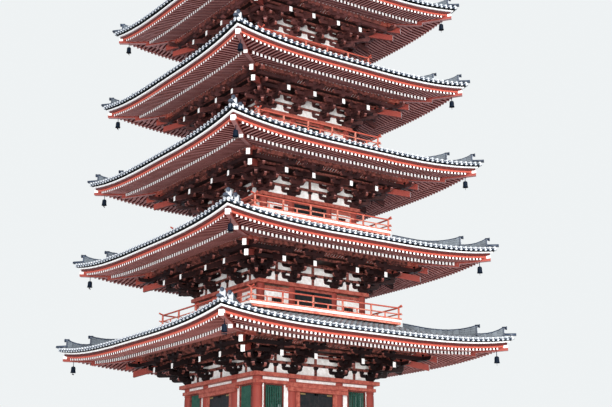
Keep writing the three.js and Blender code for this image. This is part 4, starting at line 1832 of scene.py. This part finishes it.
@dataclass
class StoneBase(Assembly):
    """The stone podium and its four flights of steps, laid stone by stone.

    Attributes:
        rows: Number of rings of paving stones.
        row_width: Width of a ring.
        treads: Number of treads in a flight.
        tread: Depth of a tread.
    """

    rows: int = 4
    row_width: float = 0.42
    treads: int = 5
    tread: float = 0.15

    def build(self) -> None:
        """Builds the podium and the flights."""
        self._podium()
        for quarters, side in enumerate(("front", "right", "back", "left")):
            self.start(f"stone_steps_{side}", 180 + quarters)
            self._flight()
            self.piece.turn(quarters)
            self.piece.build("stone", f"steps_{side}")

    def _podium(self) -> None:
        """Lays the foot stones, posts, panels, coping and paving of the podium."""
        half, top = PODIUM_HALF, PODIUM_HEIGHT
        self.start("stone_podium", 185)
        wall = half - 0.06
        boxes = []
        for a, b in self._spans(-half, half - 0.2, 9):
            boxes.append([a, b, -half, -half + 0.2, 0, 0.088])
            boxes.append([a, b, -half, -half + 0.55, top - 0.088, top])
        for a, b in self._spans(-wall, wall - 0.1, 8):
            boxes.append([a, a + 0.16, -wall - 0.004, -wall + 0.14, 0.09, top - 0.09])
            boxes.append([a + 0.16, b, -wall + 0.03, -wall + 0.14, 0.09, top - 0.09])
        inside = half - 0.55
        for row in range(self.rows):
            reach = inside - row * self.row_width
            count = max(3, round(2 * reach / 0.62))
            for a, b in self._spans(-reach, reach - self.row_width, count):
                boxes.append([a, b, -reach, -reach + 0.417, top - 0.08, top - 0.001])
        boxes.append([-0.6, 0.6, -2.13, -1.98, top - 0.001, top + 0.05])
        self.piece.blocks(boxes, Paint.STONE)
        self.piece.quarter_turns()
        middle, core = half - 0.5 - self.rows * self.row_width, wall - 0.1
        boxes = [
            [-middle, middle, -middle, middle, top - 0.09, top - 0.002],
            [-core, core, -core, core, 0.004, top - 0.02],
        ]
        self.piece.blocks(boxes, Paint.STONE)
        self.piece.build("stone", "podium")

    @staticmethod
    def _spans(start: float, end: float, count: int) -> list[Span]:
        """Splits a course into stones with fine joints."""
        marks = np.linspace(start, end, count + 1)
        return [(float(a) + 0.0015, float(b) - 0.0015) for a, b in zip(marks[:-1], marks[1:])]

    def _flight(self) -> None:
        """Lays the treads of the front flight, two or three stones to each."""
        rise = PODIUM_HEIGHT / (self.treads + 1)
        boxes = []
        for step in range(self.treads):
            front, foot = -(PODIUM_HALF + (self.treads - step) * self.tread), step * rise
            for a, b in self._spans(-0.9, 0.9, 3 if step % 2 else 2):
                boxes.append([a, b, front, -PODIUM_HALF - 0.001, foot, foot + rise - 0.001])
        self.piece.blocks(boxes, Paint.STONE)


@dataclass
class Finial(Assembly):
    """The bronze finial: dew basin, bowl and lotus, nine rings, water flame, wheel and jewel.

    Attributes:
        foot: Height of its foot.
        sides: Number of sides of its round bodies.
        basin: Height of the dew basin.
        lotus: Height of the bowl and lotus.
        first_ring: Height of the first ring over the lotus.
        rings: Number of the rings.
        ring_pitch: Distance between them.
        flame: Height of the water flame.
    """

    foot: float
    sides: int = 24
    basin: float = 0.42
    lotus: float = 0.62
    first_ring: float = 0.26
    rings: int = 9
    ring_pitch: float = 0.42
    flame: float = 1.05

    def build(self) -> None:
        """Builds the finial's parts from the roof up."""
        basin_top = self.foot + self.basin
        lotus_top = basin_top + self.lotus
        rings_top = lotus_top + self.first_ring + self.rings * self.ring_pitch
        self._basin(basin_top)
        self._bowl(basin_top)
        self._rings(lotus_top, rings_top)
        self._flame(rings_top)
        self._jewel(rings_top + self.flame)

    def _basin(self, top: float) -> None:
        """Builds the square dew basin with its stepped rims and panelled sides.

        Args:
            top: Height of its top.
        """
        self.start("dew_basin_box", 200)
        foot = self.foot
        tiers = (
            (0.38, foot, foot + 0.045),
            (0.35, foot + 0.04, foot + 0.075),
            (0.305, foot + 0.07, top - 0.07),
            (0.35, top - 0.08, top - 0.045),
            (0.38, top - 0.05, top),
        )
        boxes = [[-half, half, -half, half, low, high] for half, low, high in tiers]
        for turns in range(4):
            for x in (-0.29, -0.1, 0.1, 0.29):
                post = np.array([[x - 0.018, -0.32, foot + 0.07], [x + 0.018, -0.30, top - 0.07]])
                boxes.append(np.sort(quarter(post, turns).T).ravel())
        self.piece.blocks(boxes, Paint.BRONZE)
        self.piece.build("bronze", "dew_basin")

    def _turned(self, foot: float, profile: Outline) -> None:
        """Turns a round body.

        Args:
            foot: Height that its outline starts from.
            profile: Radius and height of each point of its outline.
        """
        (radius, low), (_, high), *rest = profile
        bench = Bench.rod(radius, high - low, self.sides, at=(0, 0, (low + high) / 2))
        stock = bench.grow(rest).round_off(lambda p, n: abs(n.z) < 0.95).stock()
        self.piece.lay(stock, stock.points + [0, 0, foot], Paint.BRONZE)

    def _bowl(self, foot: float) -> None:
        """Builds the upturned bowl and the lotus with its petals.

        Args:
            foot: Height of its foot.
        """
        self.start("bowl_and_lotus_cast", 201)
        bowl = [(0.30, 0.0), (0.30, 0.03), (0.295, 0.1), (0.27, 0.18), (0.225, 0.25)]
        bowl += [(0.16, 0.30), (0.125, 0.32), (0.125, 0.35), (0.17, 0.38), (0.21, 0.42)]
        bowl += [(0.25, 0.50), (0.27, 0.575), (0.25, 0.60), (0.07, 0.618)]
        self._turned(foot, bowl)
        points, petals = self.kit.blade.points, 8
        along = points[:, 1]
        wide = np.sin(np.clip(along * 0.86 + 0.12, 0, 1) * math.pi)
        for tier in (0, 1):
            out = 0.15 + 0.2 * along**0.8 - 0.02 * tier + 0.02 * np.abs(points[:, 0])
            z = 0.37 + 0.2 * along**1.5 + 0.03 * tier + points[:, 2] * 0.018
            petal = np.stack([points[:, 0] * 0.19 * wide, -out, z + foot], axis=-1)
            turns = (np.arange(petals) + 0.5 * tier) * 360 / petals
            self.piece.lay(self.kit.blade, ring_of(petal, turns), Paint.BRONZE)
        self.piece.build("bronze", "bowl_and_lotus")

    def _rings(self, foot: float, top: float) -> None:
        """Builds the mast and the nine spoked rings with their small bells.

        Args:
            foot: Height of the mast's foot.
            top: Height of its top.
        """
        self.start("nine_rings_cast", 202)
        self._turned(foot, [(0.062, 0.0), (0.062, 0.1), (0.058, top - foot)])
        ring = Bench.hoop(1.0, 0.045, 32, 6).round_off().stock()
        turns = np.arange(8) * 45.0
        for count in range(self.rings):
            z, radius = foot + self.first_ring + count * self.ring_pitch, 0.52 - 0.02 * count
            for share, tall in ((0.96, 1.0), (0.56, 0.6)):
                size = [radius * share, radius * share, tall]
                self.piece.stand(ring, size, [0, 0, z], Paint.BRONZE)
            self._turned(z - 0.07, [(0.09, 0.0), (0.09, 0.02), (0.1, 0.07), (0.08, 0.14)])
            spoke = fit(self.kit.lath, [0.03, radius * 0.9, 0.045]) + [0, -radius * 0.5, z]
            self.piece.lay(self.kit.lath, ring_of(spoke, turns), Paint.BRONZE)
            small = self.kit.stud.points * [0.026, 0.026, 0.07] + [0, -radius * 0.97, z - 0.115]
            self.piece.lay(self.kit.stud, ring_of(small, turns), Paint.BRONZE)
        self.piece.build("bronze", "nine_rings")

    def _flame(self, foot: float) -> None:
        """Builds the mast's upper length with four openwork flames of curling blades.

        Args:
            foot: Height of its foot.
        """
        self.start("water_flame_cast", 203)
        self._turned(foot, [(0.058, 0.0), (0.058, 0.1), (0.05, self.flame)])
        tongues = (
            (0.06, 0.36, 0.30, 0.9),
            (0.20, 0.34, 0.42, 0.8),
            (0.36, 0.29, 0.46, 0.7),
            (0.52, 0.22, 0.44, 0.6),
            (0.66, 0.13, 0.36, 0.4),
        )
        points = self.kit.blade.points
        along = points[:, 1]
        thin = 0.075 * (1 - 0.75 * along)
        for rise, reach, height, curl in tongues:
            out = 0.05 + reach * np.sin(along * math.pi * (0.5 + 0.25 * curl))
            z = foot + rise + height * along**1.4
            tongue = np.stack([points[:, 0] * 0.03, -out, z + points[:, 2] * thin], axis=-1)
            self.piece.lay(self.kit.blade, ring_of(tongue, np.arange(4) * 90.0), Paint.BRONZE)
        self.piece.build("bronze", "water_flame")

    def _jewel(self, foot: float) -> None:
        """Builds the dragon wheel and the sacred jewel.

        Args:
            foot: Height of the wheel's foot.
        """
        self.start("wheel_and_jewel_cast", 204)
        profile = [(0.07, 0.0), (0.07, 0.02), (0.06, 0.06), (0.12, 0.085), (0.17, 0.13)]
        profile += [(0.194, 0.2), (0.18, 0.27), (0.13, 0.33), (0.06, 0.36), (0.06, 0.42)]
        profile += [(0.1, 0.45), (0.17, 0.51), (0.204, 0.6), (0.19, 0.67), (0.14, 0.74)]
        profile += [(0.07, 0.80), (0.02, 0.85), (0.004, 0.86)]
        self._turned(foot, profile)
        self.piece.build("bronze", "wheel_and_jewel")


FIRED_CLAY = (45.0, 0.35)


@dataclass(frozen=True)
class Finish:
    """How one finish looks.

    Attributes:
        base: Its main colour, linear.
        shade: The colour that its uneven patches turn to.
        bleached: The paler colour that it turns to high on the tower as painted light, if it does.
        patch: Size of the patches, per metre.
        contrast: Strength of the patches.
        tone: How much the copies of a shape differ.
        streak: Strength of the rain streaks.
        dust: Colour that settles on upward faces.
        dust_share: How much of it there is.
        bare: Colour of the worn edges, which also stands as a painted highlight along them.
        wear: How much the eased edges are worn and lit with a painted highlight.
        rough: Least and greatest roughness.
        metal: Metallic share.
        gloss: Strength of the sheen.
        relief: Scale and strength of the fine relief.
    """

    base: Triple
    shade: Triple
    bleached: Triple | None = None
    patch: float = 3.0
    contrast: float = 0.5
    tone: float = 0.3
    streak: float = 0.2
    dust: Triple = (0.45, 0.42, 0.38)
    dust_share: float = 0.15
    bare: Triple = (0.35, 0.25, 0.18)
    wear: float = 0.3
    rough: Span = (0.45, 0.65)
    metal: float = 0.0
    gloss: float = 0.15
    relief: Span = (60.0, 0.2)


FINISHES = {
    Paint.VERMILION: Finish(
        (0.53, 0.098, 0.065), (0.42, 0.073, 0.051), patch=1.6, bare=(0.74, 0.35, 0.26), wear=0.7
    ),
    # The same vermilion, darker as painted shade.
    Paint.SHADED: Finish(
        (0.29, 0.054, 0.040), (0.20, 0.036, 0.030), patch=1.8, bare=(0.55, 0.17, 0.12), wear=0.6
    ),
    Paint.DARK_RED: Finish(
        (0.10, 0.018, 0.016), (0.06, 0.011, 0.010), (0.12, 0.030, 0.028), patch=2.5,
        bare=(0.35, 0.08, 0.06), wear=0.5,
    ),
    # Lighter red for faces that catch the light: painted light.
    Paint.RAFTER: Finish(
        (0.44, 0.175, 0.16), (0.27, 0.105, 0.095), (0.52, 0.27, 0.26), patch=2.5, tone=0.5,
        bare=(0.48, 0.18, 0.15), wear=0.5,
    ),
    # Near-black as painted deep shade; paler higher up as painted light.
    Paint.BRACKET: Finish(
        (0.015, 0.006, 0.006), (0.008, 0.004, 0.0045), (0.20, 0.068, 0.064), patch=2.5,
        contrast=0.7, tone=0.6, bare=(0.36, 0.11, 0.085), wear=0.8,
    ),
    Paint.WHITE: Finish(
        (0.96, 0.955, 0.94), (0.88, 0.86, 0.84), patch=2.0, contrast=0.3, tone=0.1, streak=0.1,
        bare=(0.7, 0.6, 0.5),
    ),
    Paint.PLASTER: Finish(
        (0.97, 0.965, 0.955), (0.90, 0.885, 0.87), patch=1.4, contrast=0.4, rough=(0.75, 0.92)
    ),
    Paint.TILE: Finish(
        (0.72, 0.75, 0.78), (0.40, 0.44, 0.48), patch=2.2, contrast=0.4, tone=0.4,
        dust=(0.5, 0.52, 0.53), dust_share=0.1, bare=(0.6, 0.64, 0.7), metal=0.25,
        rough=(0.30, 0.48), gloss=0.5, relief=FIRED_CLAY,
    ),
    Paint.FIELD: Finish(
        (0.21, 0.23, 0.255), (0.09, 0.105, 0.12), patch=2.0, tone=0.45, dust=(0.35, 0.37, 0.39),
        bare=(0.4, 0.43, 0.46), metal=0.15, rough=(0.32, 0.5), gloss=0.5, relief=FIRED_CLAY,
    ),
    Paint.PAN: Finish(
        (0.13, 0.15, 0.17), (0.055, 0.066, 0.078), patch=2.2, tone=0.5, dust=(0.2, 0.21, 0.22),
        bare=(0.2, 0.22, 0.25), rough=(0.40, 0.6), relief=FIRED_CLAY,
    ),
    Paint.CAP: Finish(
        (0.022, 0.036, 0.066), (0.012, 0.019, 0.034), patch=2.6, contrast=0.6, tone=0.5,
        dust=(0.12, 0.14, 0.17), bare=(0.2, 0.24, 0.3), gloss=0.4, rough=(0.35, 0.55),
    ),
    Paint.RIDGE: Finish(
        (0.115, 0.14, 0.165), (0.045, 0.056, 0.07), patch=2.6, contrast=0.6, tone=0.55,
        dust=(0.35, 0.38, 0.42), bare=(0.4, 0.44, 0.5), metal=0.15, rough=(0.35, 0.55),
        gloss=0.5, relief=FIRED_CLAY,
    ),
    # Near-black as a painted shadow line.
    Paint.BED: Finish((0.006, 0.008, 0.010), (0.004, 0.005, 0.006), dust_share=0.02, wear=0.0),
    Paint.GREEN: Finish((0.006, 0.062, 0.042), (0.004, 0.038, 0.027), bare=(0.05, 0.13, 0.10)),
    Paint.DOOR: Finish((0.009, 0.016, 0.019), (0.006, 0.010, 0.012), bare=(0.06, 0.04, 0.04)),
    Paint.GILT: Finish(
        (0.62, 0.40, 0.14), (0.30, 0.18, 0.07), patch=8.0, metal=1.0, gloss=0.5, rough=(0.25, 0.5)
    ),
    Paint.BRONZE: Finish(
        (0.065, 0.115, 0.10), (0.16, 0.30, 0.25), patch=5.0, contrast=0.8, bare=(0.30, 0.20, 0.10),
        wear=0.5, metal=0.55, gloss=0.5, rough=(0.35, 0.7),
    ),
    Paint.BELL: Finish(
        (0.003, 0.007, 0.015), (0.005, 0.010, 0.020), patch=6.0, dust_share=0.01, gloss=0.05
    ),
    Paint.STONE: Finish(
        (0.42, 0.40, 0.37), (0.27, 0.26, 0.24), patch=2.5, contrast=0.7, tone=0.6,
        bare=(0.55, 0.53, 0.5), rough=(0.75, 0.95), relief=(35.0, 0.5),
    ),
    Paint.BOARD: Finish((0.038, 0.017, 0.015), (0.020, 0.010, 0.010), patch=2.0, tone=0.6),
}


class NodeSheet:
    """A node tree that is filled node by node."""

    def __init__(self, tree: bpy.types.NodeTree) -> None:
        """Takes the tree to fill."""
        self.tree = tree

    def feed(self, node: Node, inputs: Feeds) -> None:
        """Feeds a node's inputs, given by name or number, with sockets, numbers or colours.

        Args:
            node: The node.
            inputs: What feeds each input.
        """
        for key, value in inputs.items():
            if isinstance(value, Socket):
                self.tree.links.new(value, node.inputs[key])
            else:
                node.inputs[key].default_value = value

    def add(self, kind: str, inputs: Feeds | None = None, **values: object) -> Node:
        """Adds a node.

        Args:
            kind: Its type.
            inputs: What feeds its inputs.
            **values: Its other properties.

        Returns:
            The node.
        """
        node = self.tree.nodes.new(kind)
        for key, value in values.items():
            setattr(node, key, value)
        self.feed(node, inputs or {})
        return node

    def effect(self, group: bpy.types.NodeTree, inputs: Feeds) -> bpy.types.NodeOutputs:
        """Places a shared effect and gives its outputs."""
        return self.add("ShaderNodeGroup", inputs, node_tree=group).outputs

    def coordinates(self, name: str = "Object") -> Socket:
        """The place, or another coordinate, of the shaded point."""
        return self.add("ShaderNodeTexCoord").outputs[name]

    def noise(
        self, scale: float | Socket, detail: float, rough: float, place: Socket | None = None
    ) -> Socket:
        """Adds a noise.

        Args:
            scale: Its scale.
            detail: Number of its finer layers.
            rough: How much the finer layers count.
            place: The coordinates that it reads, the object's own unless others are given.

        Returns:
            Its output.
        """
        inputs = {"Vector": place or self.coordinates(), "Scale": scale}
        inputs |= {"Detail": detail, "Roughness": rough}
        return self.add("ShaderNodeTexNoise", inputs).outputs[0]

    def times(self, a: float | Socket, b: float | Socket) -> Socket:
        """Multiplies two values."""
        return self.add("ShaderNodeMath", {0: a, 1: b}, operation="MULTIPLY").outputs[0]

    def plus(self, a: float | Socket, b: float | Socket, clamp: bool = False) -> Socket:
        """Adds two values, and holds the sum between 0 and 1 if it is to be clamped."""
        return self.add("ShaderNodeMath", {0: a, 1: b}, operation="ADD", use_clamp=clamp).outputs[0]

    def spread(self, value: Socket, low: float, high: float) -> Socket:
        """Spreads a range of values over 0 to 1."""
        inputs = {"Value": value, "From Min": low, "From Max": high}
        return self.add("ShaderNodeMapRange", inputs).outputs[0]


class Effect(NodeSheet):
    """A shared effect: a node group with named inputs and outputs."""

    def __init__(self, name: str, inputs: dict[str, str], outputs: dict[str, str]) -> None:
        """Starts the group.

        Args:
            name: Its name.
            inputs: Socket types by name.
            outputs: Socket types by name.
        """
        super().__init__(bpy.data.node_groups.new(name, "ShaderNodeTree"))
        for way, sockets in (("INPUT", inputs), ("OUTPUT", outputs)):
            for label, kind in sockets.items():
                self.tree.interface.new_socket(label, in_out=way, socket_type=f"NodeSocket{kind}")
        self.source = self.add("NodeGroupInput")
        self.target = self.add("NodeGroupOutput")

    def given(self, label: str) -> Socket:
        """The value of one of the group's inputs."""
        return self.source.outputs[label]

    def recolour(self, share: Socket, other: Socket) -> None:
        """Puts out the given colour, turned by a share to another colour.

        Args:
            share: The share.
            other: The other colour.
        """
        inputs = {0: share, 6: self.given("Colour"), 7: other}
        mixed = self.add("ShaderNodeMix", inputs, data_type="RGBA")
        self.feed(self.target, {"Colour": mixed.outputs[2]})


class Effects:
    """The shared effects, each a node group built once."""

    def __init__(self) -> None:
        """Builds the groups."""
        self.patches = self._patches()
        self.bleach = self._bleach()
        self.streaks = self._streaks()
        self.wear = self._wear()
        self.dust = self._dust()
        self.relief = self._relief()

    @staticmethod
    def _patches() -> bpy.types.NodeTree:
        """Uneven colour in patches, and each copy's own tone.

        Returns:
            The node group.
        """
        inputs = {"Colour": "Color", "Shade": "Color", "Scale": "Float", "Contrast": "Float"}
        inputs |= {"Tone": "Float", "Tone share": "Float"}
        group = Effect("uneven_patches", inputs, {"Colour": "Color", "Mask": "Float"})
        spots = group.spread(group.noise(group.given("Scale"), 6, 0.62), 0.35, 0.68)
        share = group.times(spots, group.given("Contrast"))
        own = group.times(group.given("Tone"), group.given("Tone share"))
        mask = group.plus(share, own, clamp=True)
        group.recolour(mask, group.given("Shade"))
        group.feed(group.target, {"Mask": mask})
        return group.tree

    @staticmethod
    def _bleach() -> bpy.types.NodeTree:
        """Painted light: paint turned paler the higher it stands, for the light that reaches the
        upper storeys.

        Returns:
            The node group.
        """
        inputs = {"Colour": "Color", "Pale": "Color", "Mask": "Float"}
        group = Effect("bleached_with_height", inputs, {"Colour": "Color"})
        parts = group.add("ShaderNodeSeparateXYZ", {0: group.coordinates()})
        high = group.spread(parts.outputs["Z"], *PAINTED_LIGHT_FROM_TO)
        kept = group.plus(group.times(group.given("Mask"), -0.85), 1.0, clamp=True)
        group.recolour(group.times(high, kept), group.given("Pale"))
        return group.tree

    @staticmethod
    def _streaks() -> bpy.types.NodeTree:
        """Rain streaks that run down a surface.

        Returns:
            The node group.
        """
        group = Effect("rain_streaks", {"Colour": "Color", "Amount": "Float"}, {"Colour": "Color"})
        drawn_out = {"Vector": group.coordinates(), "Scale": (22, 22, 1.6)}
        mapping = group.add("ShaderNodeMapping", drawn_out)
        lines = group.spread(group.noise(1.0, 3, 0.6, mapping.outputs[0]), 0.5, 0.75)
        darker = {"Value": 0.55, "Color": group.given("Colour")}
        wet = group.add("ShaderNodeHueSaturation", darker)
        group.recolour(group.times(lines, group.given("Amount")), wet.outputs[0])
        return group.tree

    @staticmethod
    def _dust() -> bpy.types.NodeTree:
        """Dust that settles on upward faces.

        Returns:
            The node group.
        """
        inputs = {"Colour": "Color", "Dust": "Color", "Amount": "Float"}
        group = Effect("settled_dust", inputs, {"Colour": "Color"})
        split = group.add("ShaderNodeSeparateXYZ", {0: group.coordinates("Normal")})
        facing = group.spread(split.outputs["Z"], 0.2, 1.0)
        patchy = group.spread(group.noise(5.0, 4, 0.6), 0.3, 0.7)
        share = group.times(group.times(facing, patchy), group.given("Amount"))
        group.recolour(share, group.given("Dust"))
        return group.tree

    @staticmethod
    def _wear() -> bpy.types.NodeTree:
        """Wear along the eased edges, with a painted highlight along them.

        Returns:
            The node group.
        """
        inputs = {"Colour": "Color", "Bare": "Color", "Eased": "Float", "Amount": "Float"}
        group = Effect("worn_edges", inputs, {"Colour": "Color"})
        broken = group.spread(group.noise(9.0, 4, 0.7), 0.38, 0.6)
        share = group.times(broken, group.given("Eased"))
        group.recolour(group.times(share, group.given("Amount")), group.given("Bare"))
        return group.tree

    @staticmethod
    def _relief() -> bpy.types.NodeTree:
        """Height of the fine relief: brush marks and pits over a slow swell.

        Returns:
            The node group.
        """
        group = Effect("fine_relief", {"Scale": "Float"}, {"Height": "Float"})
        fine = group.noise(group.given("Scale"), 5, 0.65)
        height = group.plus(fine, group.times(group.noise(6.0, 2, 0.5), 0.6))
        group.feed(group.target, {"Height": height})
        return group.tree


class Finishes:
    """The tower's materials, each made when it is first asked for."""

    def __init__(self) -> None:
        """Builds the shared effects."""
        self.effects = Effects()
        self.made: dict[Paint, bpy.types.Material] = {}

    def material(self, paint: Paint) -> bpy.types.Material:
        """Gives the material of a finish.

        Args:
            paint: The finish.

        Returns:
            Its material.
        """
        if paint not in self.made:
            self.made[paint] = self._make(paint.value, FINISHES[paint])
        return self.made[paint]

    def _make(self, name: str, finish: Finish) -> bpy.types.Material:
        """Builds a material from the shared effects.

        Args:
            name: Its name.
            finish: How it looks.

        Returns:
            The material.
        """
        material = bpy.data.materials.new(name)
        material.use_nodes = True
        sheet, effects = NodeSheet(material.node_tree), self.effects
        tone = sheet.add("ShaderNodeAttribute", attribute_name="tone").outputs["Fac"]
        eased = sheet.add("ShaderNodeAttribute", attribute_name="eased").outputs["Fac"]
        inputs = {"Colour": (*finish.base, 1), "Shade": (*finish.shade, 1), "Scale": finish.patch}
        inputs |= {"Contrast": finish.contrast, "Tone": tone, "Tone share": finish.tone}
        patches = sheet.effect(effects.patches, inputs)
        colour, mask = patches["Colour"], patches["Mask"]
        # Painted light: paler high on the tower.
        if finish.bleached:
            inputs = {"Colour": colour, "Pale": (*finish.bleached, 1), "Mask": mask}
            colour = sheet.effect(effects.bleach, inputs)["Colour"]
        inputs = {"Colour": colour, "Amount": finish.streak}
        colour = sheet.effect(effects.streaks, inputs)["Colour"]
        inputs = {"Colour": colour, "Bare": (*finish.bare, 1), "Eased": eased, "Amount": finish.wear}
        colour = sheet.effect(effects.wear, inputs)["Colour"]
        inputs = {"Colour": colour, "Dust": (*finish.dust, 1), "Amount": finish.dust_share}
        colour = sheet.effect(effects.dust, inputs)["Colour"]
        (smoothest, roughest), (scale, strength) = finish.rough, finish.relief
        inputs = {"Value": mask, "To Min": smoothest, "To Max": roughest}
        rough = sheet.add("ShaderNodeMapRange", inputs)
        height = sheet.effect(effects.relief, {"Scale": scale})["Height"]
        bump = sheet.add("ShaderNodeBump", {"Height": height, "Strength": strength, "Distance": 0.01})
        look = {"Base Color": colour, "Roughness": rough.outputs[0], "Normal": bump.outputs[0]}
        look |= {"Metallic": finish.metal, "Specular IOR Level": finish.gloss}
        sheet.feed(material.node_tree.nodes["Principled BSDF"], look)
        return material


@dataclass
class Studio:
    """The camera at the photograph's viewpoint, the pale floor and the soft light."""

    place: Triple = (-20.00, -30.71, -1.659)
    yaw: float = 34.42
    pitch: float = 16.02
    roll: float = 0.183
    lens: float = 68.59
    floor_radius: float = 12.0

    def build(self) -> None:
        """Sets up the camera, the floor and the lights."""
        self._camera()
        self._floor()
        self._lights()

    def _camera(self) -> None:
        """Adds the camera and makes it the scene's."""
        yaw, pitch, roll = (math.radians(a) for a in (self.yaw, self.pitch, self.roll))
        ahead = Vector(
            (math.sin(yaw) * math.cos(pitch), math.cos(yaw) * math.cos(pitch), math.sin(pitch))
        )
        side = Vector((math.cos(yaw), -math.sin(yaw), 0))
        up = side.cross(ahead)
        right = side * math.cos(roll) + up * math.sin(roll)
        top = -side * math.sin(roll) + up * math.cos(roll)
        data = bpy.data.cameras.new("viewpoint")
        data.lens = self.lens
        data.sensor_width = 36
        data.clip_end = 500
        camera = bpy.data.objects.new("viewpoint", data)
        bpy.context.scene.collection.objects.link(camera)
        matrix = camera.matrix_world.copy()
        for row in range(3):
            matrix[row][0] = right[row]
            matrix[row][1] = top[row]
            matrix[row][2] = -ahead[row]
            matrix[row][3] = self.place[row]
        camera.matrix_world = matrix
        bpy.context.scene.camera = camera

    def _floor(self) -> None:
        """Adds a plain pale disc for the tower to stand on."""
        bpy.ops.object.select_all(action="DESELECT")
        bpy.ops.mesh.primitive_cylinder_add(
            vertices=96, radius=self.floor_radius, depth=0.1, location=(0, 0, -0.052)
        )
        floor = bpy.context.active_object
        floor.name = "studio_floor"
        material = bpy.data.materials.new("pale_floor")
        material.use_nodes = True
        shader = material.node_tree.nodes["Principled BSDF"]
        shader.inputs["Base Color"].default_value = (0.72, 0.71, 0.69, 1)
        shader.inputs["Roughness"].default_value = 0.9
        floor.data.materials.append(material)

    def _lights(self) -> None:
        """Adds the pale sky, a soft key light from the upper front and a low broad fill."""
        world = bpy.data.worlds.new("pale_sky")
        bpy.context.scene.world = world
        world.use_nodes = True
        sheet = NodeSheet(world.node_tree)
        sheet.tree.nodes.clear()
        seen = sheet.add("ShaderNodeBackground", {"Color": (0.86, 0.89, 0.90, 1)})
        lit = sheet.add("ShaderNodeBackground", {"Color": (0.80, 0.88, 1.0, 1), "Strength": 0.75})
        camera_ray = sheet.add("ShaderNodeLightPath").outputs["Is Camera Ray"]
        inputs = {0: camera_ray, 1: lit.outputs[0], 2: seen.outputs[0]}
        mixed = sheet.add("ShaderNodeMixShader", inputs).outputs[0]
        sheet.add("ShaderNodeOutputWorld", {"Surface": mixed})
        self._sun("soft_key", 3.0, 22, (0.10, 0.90, -0.74))
        self._sun("low_fill", 4.6, 60, (0.56, 0.82, 0.05))
        bpy.context.scene.view_settings.view_transform = "Standard"

    @staticmethod
    def _sun(name: str, energy: float, angle: float, heading: Triple) -> None:
        """Adds a distant light.

        Args:
            name: Its name.
            energy: Its strength.
            angle: How wide it looks, in degrees.
            heading: The way its light travels.
        """
        data = bpy.data.lights.new(name, "SUN")
        data.energy = energy
        data.angle = math.radians(angle)
        data.color = (1.0, 0.97, 0.93)
        lamp = bpy.data.objects.new(name, data)
        lamp.rotation_euler = Vector(heading).to_track_quat("-Z", "Y").to_euler()
        bpy.context.scene.collection.objects.link(lamp)


def main() -> None:
    """Builds the tower from the ground up, then the studio, logging each piece's triangle count."""
    logging.basicConfig(level=logging.INFO, format="%(name)s %(message)s")
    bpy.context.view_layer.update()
    kit = Kit()
    forms = [RoofForm(storey) for storey in STOREYS]
    StoneBase(kit).build()
    GroundStorey(kit, STOREYS[0]).build()
    for storey, form in zip(STOREYS, forms):
        if storey.number > 1:
            Balcony(kit, storey, forms[storey.number - 2]).build()
            Railing(kit, storey).build()
            UpperWalls(kit, storey).build()
        Brackets(kit, form).build()
        Eaves(kit, form).build()
        RoofTiles(kit, form).build()
        HipRidges(kit, form).build()
    Finial(kit, forms[-1].tile_top(FINIAL_SEAT)).build()
    Studio().build()
    bpy.context.view_layer.update()


if __name__ == "__main__":
    main()
